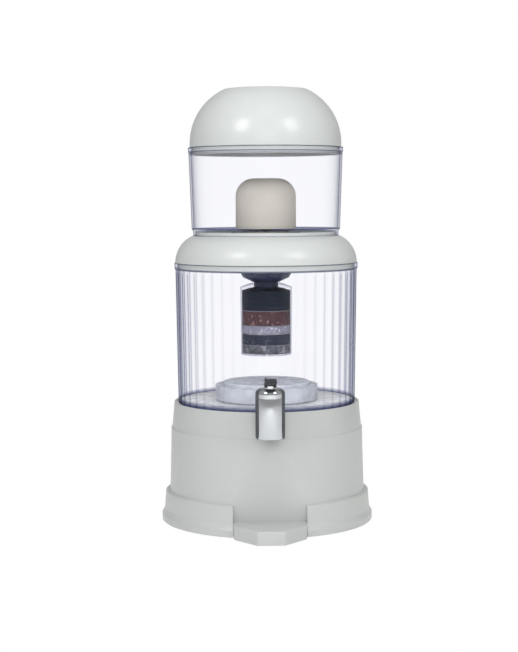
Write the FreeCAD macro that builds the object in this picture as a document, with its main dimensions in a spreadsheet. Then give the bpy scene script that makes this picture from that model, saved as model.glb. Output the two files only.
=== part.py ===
import FreeCAD, Part
import Sketcher

import math
import os
import re

# Gravity water filter with a tap, in millimetres. +Z is up, -Y is the front with the tap, and the
# origin is the middle of the foot, on the table. The stack from the table up is the stand, the lower
# tank with the tap and the stone case, the shoulder cover with its cartridge, the upper tank with its
# ceramic filter, and the lid.

# Driving sizes
SIZES = {
    # Clearances
    "seat_gap": 0.3,
    "slip_gap": 0.3,
    "thread_gap": 0.1,
    "running_gap": 0.07,
    # Stand
    "stand_wall": 3.0,
    "foot_radius": 141.8,
    "foot_band": 9.0,
    "foot_inset": 0.8,
    "flare_radius": 138.3,
    "flare_height": 16.0,
    "flange_radius": 136.5,
    "flange_height": 39.0,
    "waist_radius": 130.8,
    "waist_inset": 2.2,
    "ledge_height": 125.0,
    "ledge_inset": 1.1,
    "ledge_rise": 1.6,
    "collar_radius": 124.3,
    "collar_height": 159.0,
    "collar_lip": 2.6,
    "lip_rise": 2.0,
    "facet_reach": 118.4,
    "facet_lean": 5.2,
    "facet_half": 47.5,
    "platform_height": 18.0,
    "platform_reach": 181.0,
    "platform_side_reach": 147.0,
    "platform_side_half": 46.0,
    "platform_front_half": 17.3,
    # Lower tank
    "tank_height": 187.7,
    "tank_radius": 121.4,
    "tank_taper": 2.6,
    "tank_wall": 2.8,
    "tank_floor": 3.0,
    "reed_count": 48,
    "reed_depth": 0.9,
    "reed_height": 178.7,
    "tank_rim_radius": 122.6,
    "tank_rim_band": 7.0,
    # Stone case
    "case_radius": 69.0,
    "case_height": 18.4,
    "case_wall": 1.8,
    "case_chamfer": 1.5,
    "case_cap_radius": 58.5,
    "case_cap_rise": 6.2,
    "case_spigot": 3.0,
    "case_slot_count": 12,
    "case_slot_width": 3.0,
    "case_slot_inner": 20.0,
    "case_slot_outer": 47.0,
    "stone_radius": 6.6,
    "stone_pitch": 14.4,
    "stone_rings": 4,
    # Tap
    "tap_height": 16.2,
    "tap_reach": 150.0,
    "tap_radius": 18.7,
    "tap_drop": 44.0,
    "tap_body_height": 52.5,
    "tap_edge": 3.0,
    "outlet_radius": 7.5,
    "outlet_length": 18.5,
    "valve_room": 13.0,
    "shank_radius": 6.0,
    "shank_bore": 4.0,
    "shank_end": 8.5,
    "tap_flange_radius": 12.2,
    "tap_flange_width": 3.2,
    "tank_pad_radius": 13.0,
    "tank_pad_depth": 1.2,
    "seal_width": 1.6,
    "lock_nut_radius": 12.0,
    "lock_nut_width": 5.0,
    "lock_nut_count": 8,
    "lock_nut_groove": 1.2,
    "bonnet_height": 11.5,
    "bonnet_round": 6.6,
    "bonnet_band": 4.9,
    "bonnet_spigot": 3.5,
    "post_half": 3.0,
    "post_round": 2.7,
    "pin_radius": 1.25,
    "pin_ahead": 6.5,
    "pin_height": 5.5,
    "lever_width": 15.0,
    "lever_slot": 8.0,
    "lever_top": 6.0,
    "lever_plate": 2.2,
    "lever_tail": 11.5,
    "lever_nose": 10.0,
    "lever_tab": 22.0,
    "lever_tab_thickness": 3.2,
    "lever_underside": 3.7,
    "lift_pin_radius": 1.1,
    "stem_radius": 2.5,
    "stem_head_radius": 3.6,
    "stem_head_height": 1.5,
    "plug_radius": 10.0,
    "plug_height": 5.7,
    "spring_radius": 6.0,
    "spring_wire": 0.6,
    "spring_turns": 4,
    # Shoulder cover
    "cover_radius": 121.5,
    "cover_round": 39.0,
    "cover_rise": 35.7,
    "cover_wall": 2.5,
    "cover_spigot": 9.3,
    "deck_drop": 4.3,
    "deck_hole": 38.5,
    "guide_rise": 5.0,
    # Cartridge
    "cap_flange_radius": 44.5,
    "cap_flange": 2.5,
    "cap_wall": 2.4,
    "cap_gasket": 1.5,
    "cap_mouth_depth": 6.5,
    "cap_throat_radius": 31.0,
    "cap_throat_depth": 18.5,
    "cap_neck_radius": 18.7,
    "cap_neck_depth": 24.2,
    "cap_plug_radius": 16.2,
    "cap_plug_length": 8.0,
    "housing_radius": 34.5,
    "housing_taper": 0.7,
    "housing_bore": 32.6,
    "housing_length": 97.5,
    "housing_floor": 2.0,
    "housing_collar": 2.5,
    "housing_shoulder": 4.5,
    "drain_count": 12,
    "drain_inner": 10.0,
    "drain_outer": 27.0,
    "drain_width": 2.0,
    "felt_thickness": 0.8,
    "gravel_depth": 10.5,
    "zeolite_depth": 14.0,
    "silica_depth": 10.4,
    "red_depth": 19.0,
    "charcoal_depth": 26.0,
    "charcoal_heap": 3.0,
    # Upper tank
    "upper_height": 116.6,
    "upper_radius": 102.7,
    "upper_taper": 3.5,
    "upper_wall": 2.5,
    "upper_floor": 2.5,
    "skirt_height": 6.2,
    "skirt_radius": 97.0,
    "upper_rim_radius": 103.3,
    "upper_rim_band": 5.9,
    "upper_rim_lip": 2.0,
    "upper_mouth": 98.4,
    "boss_radius": 46.0,
    "boss_drop": 3.7,
    # Ceramic filter
    "dome_radius": 40.3,
    "dome_height": 63.0,
    "dome_round": 24.0,
    "dome_wall": 9.0,
    "filter_plate": 2.0,
    "filter_gasket": 2.0,
    "filter_gasket_radius": 16.0,
    "thread_radius": 6.0,
    "thread_bore": 3.2,
    "thread_length": 18.0,
    "filter_nut_radius": 31.0,
    "filter_nut_height": 6.5,
    "filter_nut_notches": 12,
    "filter_nut_notch": 2.0,
    # Lid
    "lid_radius": 101.0,
    "lid_height": 76.8,
    "lid_round": 79.0,
    "lid_band": 4.8,
    "lid_edge": 5.0,
    "lid_wall": 2.5,
    "lid_spigot": 9.9,
    "lid_spigot_wall": 2.3,
}

# Levels and fits that follow from the sizes
TANK_FOOT = "(collar_height - lip_rise + seat_gap)"
TANK_BORE = "(tank_radius - tank_wall)"
TANK_PAD = "(tank_radius - tank_taper + 3 * tank_pad_depth)"
PAD_INSIDE = "(tank_radius - tank_taper - tank_wall - tank_pad_depth)"
CASE_FOOT = f"({TANK_FOOT} + tank_floor + seat_gap)"
COVER_FOOT = f"({TANK_FOOT} + tank_height + seat_gap)"
DECK_TOP = f"({COVER_FOOT} - deck_drop + cover_wall)"
UPPER_FOOT = f"({COVER_FOOT} + cover_rise + seat_gap)"
UPPER_FLOOR = f"({UPPER_FOOT} + skirt_height + upper_floor)"
LID_FOOT = f"({UPPER_FOOT} + upper_height + seat_gap)"
TAP_LEVEL = f"({TANK_FOOT} + tap_height)"
TAP_FOOT = f"({TAP_LEVEL} - tap_drop)"
BONNET_FOOT = f"({TAP_FOOT} + tap_body_height)"
STEM_HEAD = f"({BONNET_FOOT} + bonnet_height + pin_height - lever_underside + 3 * lift_pin_radius)"

doc = FreeCAD.newDocument("WaterFilter")
sheet = doc.addObject("Spreadsheet::Sheet", "Sizes")
for row, (alias, number) in enumerate(SIZES.items(), start=1):
    sheet.set(f"A{row}", alias)
    sheet.set(f"B{row}", str(number))
    sheet.setAlias(f"B{row}", alias)
doc.recompute()

nodes = []


def bound(text):
    """An expression in plain size names, as the document reads it."""
    return re.sub(r"[a-z_]+", lambda m: f"Sizes.{m[0]}" if m[0] in SIZES else m[0], text)


def value(text):
    """The present value of an expression in size names."""
    return float(sheet.evalExpression(bound(text)))


def bind(thing, prop, text):
    """Tie one property to an expression in size names."""
    thing.setExpression(prop, bound(text))


def place(thing, x="0", y="0", z="0"):
    """Put a piece at a point given by three expressions."""
    bind(thing, "Placement.Base.x", x)
    bind(thing, "Placement.Base.y", y)
    bind(thing, "Placement.Base.z", z)


def keep(thing, label):
    """Name a finished sub-part and put it on the list of pieces."""
    thing.Label = label
    nodes.append(thing)
    return thing


def part(kind, name, **bindings):
    """A primitive whose sizes are bound to expressions."""
    thing = doc.addObject(kind, name)
    for prop, text in bindings.items():
        bind(thing, prop, text)
    return thing


def cut(name, base, *tools):
    """Base less one tool or several."""
    tool = tools[0] if len(tools) == 1 else fused(f"{name}_tools", *tools)
    thing = doc.addObject("Part::Cut", name)
    thing.Base = base
    thing.Tool = tool
    return thing


def fused(name, *shapes):
    """Several shapes as one."""
    thing = doc.addObject("Part::MultiFuse", name)
    thing.Shapes = list(shapes)
    return thing


def arc_centre(start, end, radius, side):
    """Centre of the arc of under half a turn from start to end, on the left or right of the way."""
    chord = end - start
    middle = (start + end) * 0.5
    across = FreeCAD.Vector(-chord.y, chord.x, 0).normalize()
    depth = math.sqrt(max(radius**2 - (chord.Length / 2) ** 2, 0))
    return middle + across * (depth if side == "left" else -depth)


def sketch(body, plane, outline, name):
    """A closed sketch on one of the body's own planes. A corner is (across, up), and a corner that an
    arc leaves is (across, up, radius, side of its centre). Every corner is bound to its expressions."""
    drawing = body.newObject("Sketcher::SketchObject", name)
    origin = next(f for f in body.Origin.OriginFeatures if f.Role == plane)
    drawing.AttachmentSupport = (origin, [""])
    drawing.MapMode = "FlatFace"
    corners = [FreeCAD.Vector(value(c[0]), value(c[1]), 0) for c in outline]
    ends = []
    for i, corner in enumerate(outline):
        start = corners[i]
        end = corners[(i + 1) % len(corners)]
        if len(corner) == 2:
            drawing.addGeometry(Part.LineSegment(start, end))
            ends.append((1, 2))
            continue
        centre = arc_centre(start, end, value(corner[2]), corner[3])
        first, last = (start, end) if corner[3] == "left" else (end, start)
        turn = [math.atan2(p.y - centre.y, p.x - centre.x) for p in (first, last)]
        circle = Part.Circle(centre, FreeCAD.Vector(0, 0, 1), value(corner[2]))
        drawing.addGeometry(Part.ArcOfCircle(circle, turn[0], turn[1]))
        ends.append((1, 2) if corner[3] == "left" else (2, 1))
    for i, corner in enumerate(outline):
        following = (i + 1) % len(outline)
        join = Sketcher.Constraint("Coincident", i, ends[i][1], following, ends[following][0])
        drawing.addConstraint(join)
        for kind, text, along in (("DistanceX", corner[0], "x"), ("DistanceY", corner[1], "y")):
            where = getattr(corners[i], along)
            tie = drawing.addConstraint(Sketcher.Constraint(kind, -1, 1, i, ends[i][0], where))
            bind(drawing, f"Constraints[{tie}]", text)
        if len(corner) > 2:
            tie = drawing.addConstraint(Sketcher.Constraint("Radius", i, value(corner[2])))
            bind(drawing, f"Constraints[{tie}]", corner[2])
    return drawing


def turned(name, outline):
    """A body turned about its own vertical axis from an outline of (radius, height) corners."""
    body = doc.addObject("PartDesign::Body", name)
    profile = sketch(body, "XZ_Plane", outline, f"{name}_profile")
    turn = body.newObject("PartDesign::Revolution", f"{name}_turn")
    turn.Profile = profile
    turn.ReferenceAxis = (profile, ["V_Axis"])
    turn.Angle = 360
    profile.Visibility = False
    return body


def padded(body, plane, outline, length, name, middle=False):
    """A pad of an outline on one of the body's planes."""
    profile = sketch(body, plane, outline, f"{name}_profile")
    pad = body.newObject("PartDesign::Pad", name)
    pad.Profile = profile
    bind(pad, "Length", length)
    pad.Midplane = middle
    return pad


def pocketed(body, plane, outline, length, name, middle=False, upwards=False):
    """A pocket of an outline on one of the body's planes, checked to take material away."""
    doc.recompute()
    before = body.Shape.Volume
    profile = sketch(body, plane, outline, f"{name}_profile")
    pocket = body.newObject("PartDesign::Pocket", name)
    pocket.Profile = profile
    bind(pocket, "Length", length)
    pocket.Midplane = middle
    pocket.Reversed = upwards
    doc.recompute()
    if body.Shape.Volume >= before:
        raise ValueError(f"{name} takes nothing away")
    return pocket


def patterned(body, feature, count, name):
    """A feature repeated evenly round the body's vertical axis."""
    pattern = body.newObject("PartDesign::PolarPattern", name)
    pattern.Originals = [feature]
    pattern.Axis = (next(f for f in body.Origin.OriginFeatures if f.Role == "Z_Axis"), [""])
    pattern.Angle = 360
    bind(pattern, "Occurrences", count)
    body.Tip = pattern
    return pattern


def rod(name, radius, start, length, along, x="0", y="0", z="0"):
    """A round bar along X or Y, from start on that axis, with its other places given."""
    bar = part("Part::Cylinder", name, Radius=radius, Height=length)
    turn = {"x": FreeCAD.Rotation(FreeCAD.Vector(0, 1, 0), 90)}
    turn["y"] = FreeCAD.Rotation(FreeCAD.Vector(1, 0, 0), -90)
    bar.Placement = FreeCAD.Placement(FreeCAD.Vector(), turn[along])
    places = {"x": x, "y": y, "z": z}
    places[along] = start
    place(bar, **places)
    return bar


def stand():
    """Moulded stand: a hollow turned skirt with a sloping front facet and a cup platform."""
    body = turned("stand_skirt", [
        ("0", "0"),
        ("foot_radius", "0"),
        ("foot_radius - foot_inset", "foot_band"),
        ("flare_radius", "flare_height"),
        ("flange_radius", "flange_height"),
        ("waist_radius", "flange_height"),
        ("waist_radius - waist_inset", "ledge_height"),
        ("waist_radius - waist_inset - ledge_inset", "ledge_height + ledge_rise"),
        ("collar_radius", "collar_height"),
        ("collar_radius - collar_lip", "collar_height"),
        ("collar_radius - collar_lip", "collar_height - lip_rise"),
        ("0", "collar_height - lip_rise"),
    ])
    facet = "facet_reach + {} * tan(facet_lean)"
    beyond = "-(foot_radius + platform_reach)"
    pocketed(body, "YZ_Plane", [
        ("-(" + facet.format("-foot_band") + ")", "-foot_band"),
        ("-(" + facet.format("collar_height") + ")", "collar_height"),
        (beyond, "collar_height"),
        (beyond, "-foot_band"),
    ], "2 * facet_half", "stand_facet", middle=True)
    padded(body, "XY_Plane", [
        ("-facet_half", "-(facet_reach - stand_wall)"),
        ("-facet_half", "-(facet_reach + stand_wall)"),
        ("-platform_side_half", "-platform_side_reach"),
        ("-platform_front_half", "-platform_reach"),
        ("platform_front_half", "-platform_reach"),
        ("platform_side_half", "-platform_side_reach"),
        ("facet_half", "-(facet_reach + stand_wall)"),
        ("facet_half", "-(facet_reach - stand_wall)"),
    ], "platform_height", "stand_platform")
    slope = "stand_wall * (platform_reach - platform_side_reach) / (platform_side_half - platform_front_half)"
    inner_side = "platform_side_half - stand_wall"
    inner_front = "platform_front_half - stand_wall / 2"
    pocketed(body, "XY_Plane", [
        (f"-({inner_side})", "-(facet_reach + 2 * stand_wall)"),
        (f"-({inner_side})", f"-(platform_side_reach - {slope} / 4)"),
        (f"-({inner_front})", "-(platform_reach - stand_wall)"),
        (inner_front, "-(platform_reach - stand_wall)"),
        (inner_side, f"-(platform_side_reach - {slope} / 4)"),
        (inner_side, "-(facet_reach + 2 * stand_wall)"),
    ], "platform_height - stand_wall", "stand_platform_hollow", upwards=True)

    hollow = turned("stand_hollow", [
        ("0", "-foot_band"),
        ("foot_radius - foot_inset - stand_wall", "-foot_band"),
        ("foot_radius - foot_inset - stand_wall", "foot_band"),
        ("flare_radius - stand_wall", "flare_height"),
        ("flange_radius - stand_wall", "flange_height - stand_wall"),
        ("waist_radius - stand_wall", "flange_height - stand_wall"),
        ("waist_radius - waist_inset - ledge_inset - stand_wall", "ledge_height"),
        ("collar_radius - stand_wall", "collar_height - lip_rise - stand_wall"),
        ("0", "collar_height - lip_rise - stand_wall"),
    ])
    inside = "facet_reach - stand_wall + {} * tan(facet_lean)"
    pocketed(hollow, "YZ_Plane", [
        ("-(" + inside.format("-2 * foot_band") + ")", "-2 * foot_band"),
        ("-(" + inside.format("collar_height") + ")", "collar_height"),
        (beyond, "collar_height"),
        (beyond, "-2 * foot_band"),
    ], "2 * (facet_half + stand_wall)", "stand_hollow_facet", middle=True)
    keep(cut("stand_shell", body, hollow), "base_stand")


def reeded_ring(crest, height):
    """A closed ring of outward round reeds, whose crests lie on a circle and meet in valleys."""
    count = int(value("reed_count"))
    step = 2 * math.pi / count
    valley = crest - value("reed_depth")

    def spot(radius, turn):
        return FreeCAD.Vector(radius * math.cos(turn), radius * math.sin(turn), height)

    arcs = [
        Part.Arc(spot(valley, i * step), spot(crest, (i + 0.5) * step), spot(valley, (i + 1) * step))
        for i in range(count)
    ]
    return Part.Wire([arc.toShape() for arc in arcs])


def lower_tank():
    """Clear tank: a reeded tapering wall with a plain rim, a floor and a pad bored for the tap."""
    foot = value(TANK_FOOT)
    foot_radius = value("tank_radius - tank_taper")
    top = foot + value("tank_height")
    reed_top = foot + value("reed_height")
    wall = value("tank_wall")
    up = FreeCAD.Vector(0, 0, 1)
    reeds = Part.makeLoft(
        [reeded_ring(foot_radius, foot), reeded_ring(value("tank_radius"), reed_top)], True, True)
    band_height = top - value("tank_rim_band") - reed_top
    band = Part.makeCylinder(value("tank_radius"), band_height, FreeCAD.Vector(0, 0, reed_top), up)
    rim_foot = FreeCAD.Vector(0, 0, top - value("tank_rim_band"))
    rim = Part.makeCylinder(value("tank_rim_radius"), value("tank_rim_band"), rim_foot, up)
    taper = value("tank_taper") / value("reed_height")
    floor_top = foot + value("tank_floor")
    bore = [foot_radius - wall + (z - foot) * taper for z in (floor_top, reed_top)]
    hollow = Part.makeCone(bore[0], bore[1], reed_top - floor_top, FreeCAD.Vector(0, 0, floor_top), up)
    mouth = Part.makeCylinder(bore[1], top - reed_top, FreeCAD.Vector(0, 0, reed_top), up)

    level = value(TAP_LEVEL)
    front = FreeCAD.Vector(0, -value(TANK_PAD), level)
    inwards = FreeCAD.Vector(0, 1, 0)
    pad_length = value(f"{TANK_PAD} - ({PAD_INSIDE})")
    pad = Part.makeCylinder(value("tank_pad_radius"), pad_length, front, inwards)
    hole = Part.makeCylinder(value("shank_radius + slip_gap"), pad_length, front, inwards)
    shell = reeds.fuse([band, rim]).cut([hollow, mouth]).fuse(pad).cut(hole)
    tank = doc.addObject("Part::Feature", "lower_tank_wall")
    tank.Shape = shell.removeSplitter()
    keep(tank, "lower_tank")


def stone_case():
    """Round case of mineral stones on the tank's floor, with a slotted lid."""
    dish = turned("stone_dish", [
        ("0", "0"),
        ("case_radius - case_chamfer", "0"),
        ("case_radius", "case_chamfer"),
        ("case_radius", "case_height"),
        ("case_radius - case_wall", "case_height"),
        ("case_radius - case_wall", "case_wall"),
        ("0", "case_wall"),
    ])
    place(dish, z=CASE_FOOT)
    keep(dish, "stone_case_dish")

    spigot = "(case_radius - case_wall - slip_gap)"
    lid = turned("stone_lid", [
        ("0", "case_cap_rise"),
        ("case_cap_radius - case_chamfer", "case_cap_rise"),
        ("case_cap_radius", "case_cap_rise - case_chamfer"),
        ("case_cap_radius", "case_wall"),
        ("case_radius", "case_wall"),
        ("case_radius", "0"),
        (spigot, "0"),
        (spigot, "-case_spigot"),
        (f"{spigot} - case_wall", "-case_spigot"),
        (f"{spigot} - case_wall", "0"),
        ("case_cap_radius - case_wall", "0"),
        ("case_cap_radius - case_wall", "case_cap_rise - case_wall"),
        ("0", "case_cap_rise - case_wall"),
    ])
    slot = pocketed(lid, "XY_Plane", [
        ("case_slot_inner", "-case_slot_width / 2"),
        ("case_slot_outer", "-case_slot_width / 2"),
        ("case_slot_outer", "case_slot_width / 2"),
        ("case_slot_inner", "case_slot_width / 2"),
    ], "case_cap_rise + case_wall", "stone_lid_slot", upwards=True)
    patterned(lid, slot, "case_slot_count", "stone_lid_slots")
    place(lid, z=f"{CASE_FOOT} + case_height")
    keep(lid, "stone_case_lid")

    radius = value("stone_radius")
    height = value(f"{CASE_FOOT} + case_wall + stone_radius")
    stones = [Part.makeSphere(radius, FreeCAD.Vector(0, 0, height))]
    for ring in range(1, int(value("stone_rings")) + 1):
        for i in range(6 * ring):
            turn = 2 * math.pi * i / (6 * ring)
            reach = ring * value("stone_pitch")
            spot = FreeCAD.Vector(reach * math.cos(turn), reach * math.sin(turn), height)
            stones.append(Part.makeSphere(radius, spot))
    pebbles = doc.addObject("Part::Feature", "stones")
    pebbles.Shape = Part.makeCompound(stones)
    keep(pebbles, "mineral_stones")


def tap_case():
    """Chromed tap body with its outlet, valve room, threaded shank and wall flange."""
    body = turned("tap_barrel", [
        ("outlet_radius", "0"),
        ("tap_radius - tap_edge", "0", "tap_edge", "left"),
        ("tap_radius", "tap_edge"),
        ("tap_radius", "tap_body_height"),
        ("valve_room", "tap_body_height"),
        ("valve_room", "outlet_length"),
        ("outlet_radius", "outlet_length"),
    ])
    place(body, y="-tap_reach", z=TAP_FOOT)
    wall_middle = "-tap_reach + (tap_radius + valve_room) / 2"
    shank_tip = f"({PAD_INSIDE} - shank_end)"
    shank = rod("tap_shank", "shank_radius", wall_middle, f"tap_reach - (tap_radius + valve_room) / 2"
                f" - {shank_tip}", "y", z=TAP_LEVEL)
    flange = rod("tap_flange", "tap_flange_radius", f"-({TANK_PAD} + seal_width + tap_flange_width)",
                 "tap_flange_width", "y", z=TAP_LEVEL)
    bore = rod("tap_bore", "shank_bore", "-tap_reach", f"tap_reach - {shank_tip}", "y", z=TAP_LEVEL)
    keep(cut("tap_case", fused("tap_casting", body, shank, flange), bore), "tap_body")

    for name, start, label in (
        ("outer_seal", f"-({TANK_PAD} + seal_width)", "tap_outer_seal"),
        ("inner_seal", f"-({PAD_INSIDE})", "tap_inner_seal"),
    ):
        disc = rod(f"{name}_disc", "tap_flange_radius", start, "seal_width", "y", z=TAP_LEVEL)
        hole = rod(f"{name}_hole", "shank_radius", start, "seal_width", "y", z=TAP_LEVEL)
        keep(cut(name, disc, hole), label)

    nut = doc.addObject("PartDesign::Body", "shank_nut")
    padded(nut, "XY_Plane", [
        ("-lock_nut_radius", "0", "lock_nut_radius", "left"),
        ("0", "-lock_nut_radius", "lock_nut_radius", "left"),
        ("lock_nut_radius", "0", "lock_nut_radius", "left"),
        ("0", "lock_nut_radius", "lock_nut_radius", "left"),
    ], "lock_nut_width", "shank_nut_disc")
    pocketed(nut, "XY_Plane", round_outline("0", "shank_radius + thread_gap"), "lock_nut_width",
             "shank_nut_bore", upwards=True)
    groove = pocketed(nut, "XY_Plane", round_outline("lock_nut_radius", "lock_nut_groove"),
                      "lock_nut_width", "shank_nut_groove", upwards=True)
    patterned(nut, groove, "lock_nut_count", "shank_nut_grooves")
    nut.Placement = FreeCAD.Placement(FreeCAD.Vector(), FreeCAD.Rotation(FreeCAD.Vector(1, 0, 0), -90))
    place(nut, y=f"-({PAD_INSIDE} - seal_width)", z=TAP_LEVEL)
    keep(nut, "tap_lock_nut")


def round_outline(across, radius):
    """A circle as four quarter arcs, with its centre at (across, 0)."""
    return [
        (f"{across} - ({radius})", "0", radius, "left"),
        (across, f"-({radius})", radius, "left"),
        (f"{across} + ({radius})", "0", radius, "left"),
        (across, radius, radius, "left"),
    ]


def tap_top():
    """Bonnet with the post that carries the lever's pin, and the pin."""
    cap = turned("bonnet_cap", [
        ("stem_radius + running_gap", "-bonnet_spigot"),
        ("valve_room - thread_gap", "-bonnet_spigot"),
        ("valve_room - thread_gap", "0"),
        ("tap_radius", "0"),
        ("tap_radius", "bonnet_band", "bonnet_round", "left"),
        ("tap_radius - bonnet_round", "bonnet_height"),
        ("stem_radius + running_gap", "bonnet_height"),
    ])
    place(cap, y="-tap_reach", z=BONNET_FOOT)
    post = doc.addObject("PartDesign::Body", "pin_post")
    pin_level = "(bonnet_height + pin_height)"
    padded(post, "YZ_Plane", [
        ("-pin_ahead - post_round", "bonnet_height - cover_wall"),
        ("-pin_ahead + post_round", "bonnet_height - cover_wall"),
        ("-pin_ahead + post_round", pin_level, "post_round", "left"),
        ("-pin_ahead", f"{pin_level} + post_round", "post_round", "left"),
        ("-pin_ahead - post_round", pin_level),
    ], "2 * post_half", "pin_post_slab", middle=True)
    place(post, y="-tap_reach", z=BONNET_FOOT)
    pin_y = "-tap_reach - pin_ahead"
    pin_z = f"{BONNET_FOOT} + bonnet_height + pin_height"
    hole = rod("post_hole", "pin_radius", "-post_half", "2 * post_half", "x", y=pin_y, z=pin_z)
    keep(cut("bonnet", fused("bonnet_casting", cap, post), hole), "tap_bonnet")
    pin = rod("hinge_pin", "pin_radius", "-lever_width / 2 + seat_gap", "lever_width - 2 * seat_gap",
              "x", y=pin_y, z=pin_z)
    keep(pin, "lever_pin")


def lever():
    """Black lever: a hollow block over the post and the stem's head, with a thumb tab in front."""
    body = doc.addObject("PartDesign::Body", "lever_block")
    padded(body, "YZ_Plane", [
        ("-lever_nose", "0"),
        ("0", "-lever_underside"),
        ("lever_tail", "-lever_underside"),
        ("lever_tail", "lever_top - lever_plate", "lever_plate", "left"),
        ("lever_tail - lever_plate", "lever_top"),
        ("-lever_tab", "lever_top", "lever_tab_thickness / 2", "left"),
        ("-lever_tab - lever_tab_thickness / 2", "lever_top - lever_tab_thickness / 2",
         "lever_tab_thickness / 2", "left"),
        ("-lever_tab", "lever_top - lever_tab_thickness"),
        ("-lever_nose", "lever_top - lever_tab_thickness"),
    ], "lever_width", "lever_slab", middle=True)
    pocketed(body, "YZ_Plane", [
        ("-2 * post_round", "-lever_top"),
        ("lever_tail + post_round", "-lever_top"),
        ("lever_tail + post_round", "lever_top - lever_plate"),
        ("-2 * post_round", "lever_top - lever_plate"),
    ], "lever_slot", "lever_room", middle=True)
    pocketed(body, "YZ_Plane", round_outline("0", "pin_radius + running_gap"), "2 * lever_width",
             "lever_bore", middle=True)
    pin_y = "-tap_reach - pin_ahead"
    pin_z = f"({BONNET_FOOT} + bonnet_height + pin_height)"
    place(body, y=pin_y, z=pin_z)
    lift_z = f"{STEM_HEAD} - seat_gap - lift_pin_radius"
    length = "(lever_width - lever_slot) / 2 + stem_head_radius - stem_radius"
    pins = [
        rod(f"lift_pin_{side}", "lift_pin_radius", start, length, "x", y="-tap_reach", z=lift_z)
        for side, start in (
            ("left", "-lever_width / 2 + seat_gap"),
            ("right", f"lever_width / 2 - seat_gap - ({length})"),
        )
    ]
    keep(fused("lever", body, *pins), "tap_lever")


def tangent_arc(start, bend, end):
    """The arc from start to end whose end tangents meet at bend, at one distance from both."""
    middle = (start + end) * 0.5
    half = (end - start).Length / 2
    rise = (bend - middle).Length
    swell = half * math.tan(math.atan2(rise, half) / 2)
    return Part.Arc(start, middle + (bend - middle) * (swell / rise), end).toShape()


def coil_path(radius, rise, turns):
    """A helix about Z from (radius, 0, 0), as two tangent arcs for each quarter turn."""
    steps = int(4 * turns)
    climb = rise / (2 * math.pi * turns)

    def state(i):
        turn = i * math.pi / 2
        along = FreeCAD.Vector(-radius * math.sin(turn), radius * math.cos(turn), climb).normalize()
        return FreeCAD.Vector(radius * math.cos(turn), radius * math.sin(turn), climb * turn), along

    arcs = []
    for i in range(steps):
        start, leaving = state(i)
        end, arriving = state(i + 1)
        chord = end - start
        spread = 1 - leaving * arriving
        reach = chord * (leaving + arriving)
        pull = (math.sqrt(reach**2 + 2 * spread * (chord * chord)) - reach) / (2 * spread)
        first = start + leaving * pull
        second = end - arriving * pull
        middle = (first + second) * 0.5
        arcs += [tangent_arc(start, first, middle), tangent_arc(middle, second, end)]
    return Part.Wire(arcs)


def valve():
    """Sprung valve: a headed stem, a soft plug on the outlet's seat and the spring above it."""
    seat = f"({TAP_FOOT} + outlet_length + seat_gap)"
    stem_foot = f"({seat} + plug_height / 2)"
    stem = turned("stem_bar", [
        ("0", stem_foot),
        ("stem_radius", stem_foot),
        ("stem_radius", STEM_HEAD),
        ("stem_head_radius", STEM_HEAD),
        ("stem_head_radius", f"{STEM_HEAD} + stem_head_height"),
        ("0", f"{STEM_HEAD} + stem_head_height"),
    ])
    place(stem, y="-tap_reach")
    keep(stem, "valve_stem")
    plug = turned("plug_disc", [
        ("0", seat),
        ("plug_radius", seat),
        ("plug_radius", f"{seat} + plug_height / 2"),
        ("spring_radius + 2 * spring_wire", f"{seat} + plug_height"),
        ("stem_radius", f"{seat} + plug_height"),
        ("stem_radius", f"{seat} + plug_height / 2"),
        ("0", f"{seat} + plug_height / 2"),
    ])
    place(plug, y="-tap_reach")
    keep(plug, "valve_plug")

    foot = value(f"{seat} + plug_height + spring_wire")
    head = value(f"{BONNET_FOOT} - bonnet_spigot - spring_wire")
    start = FreeCAD.Vector(value("spring_radius"), 0, 0)
    path = coil_path(start.x, head - foot, value("spring_turns"))
    climb = FreeCAD.Vector(0, 2 * math.pi * start.x * value("spring_turns"), head - foot)
    ring = Part.Wire([Part.makeCircle(value("spring_wire"), start, climb)])
    coil = doc.addObject("Part::Feature", "coil")
    coil.Shape = path.makePipeShell([ring], True, False)
    coil.Placement.Base = FreeCAD.Vector(0, -value("tap_reach"), foot)
    keep(coil, "valve_spring")


def cover():
    """White shoulder cover: a round shoulder, a spigot in the tank, a holed deck and a guide ring."""
    spigot = f"({TANK_BORE} - slip_gap)"
    guide = "(skirt_radius - upper_wall - slip_gap)"
    middle = "(cover_radius - cover_round)"
    top = f"{middle} + sqrt(cover_round^2 - cover_rise^2)"
    inner = "(cover_round - cover_wall)"
    inner_top = f"{middle} + sqrt({inner}^2 - (cover_rise - cover_wall)^2)"
    inner_foot = f"{middle} + sqrt({inner}^2 - cover_wall^2)"
    body = turned("cover_shell", [
        ("deck_hole", "-deck_drop"),
        (f"{spigot} - cover_wall", "-deck_drop"),
        (f"{spigot} - cover_wall", "-cover_spigot"),
        (spigot, "-cover_spigot"),
        (spigot, "0"),
        ("cover_radius", "0", "cover_round", "left"),
        (top, "cover_rise"),
        (guide, "cover_rise"),
        (guide, "cover_rise + guide_rise"),
        (f"{guide} - cover_wall", "cover_rise + guide_rise"),
        (f"{guide} - cover_wall", "cover_rise - cover_wall"),
        (inner_top, "cover_rise - cover_wall", inner, "right"),
        (inner_foot, "cover_wall"),
        (f"{spigot} - cover_wall", "cover_wall"),
        (f"{spigot} - cover_wall", "-deck_drop + cover_wall"),
        ("deck_hole", "-deck_drop + cover_wall"),
    ])
    place(body, z=COVER_FOOT)
    keep(body, "shoulder_cover")


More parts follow.
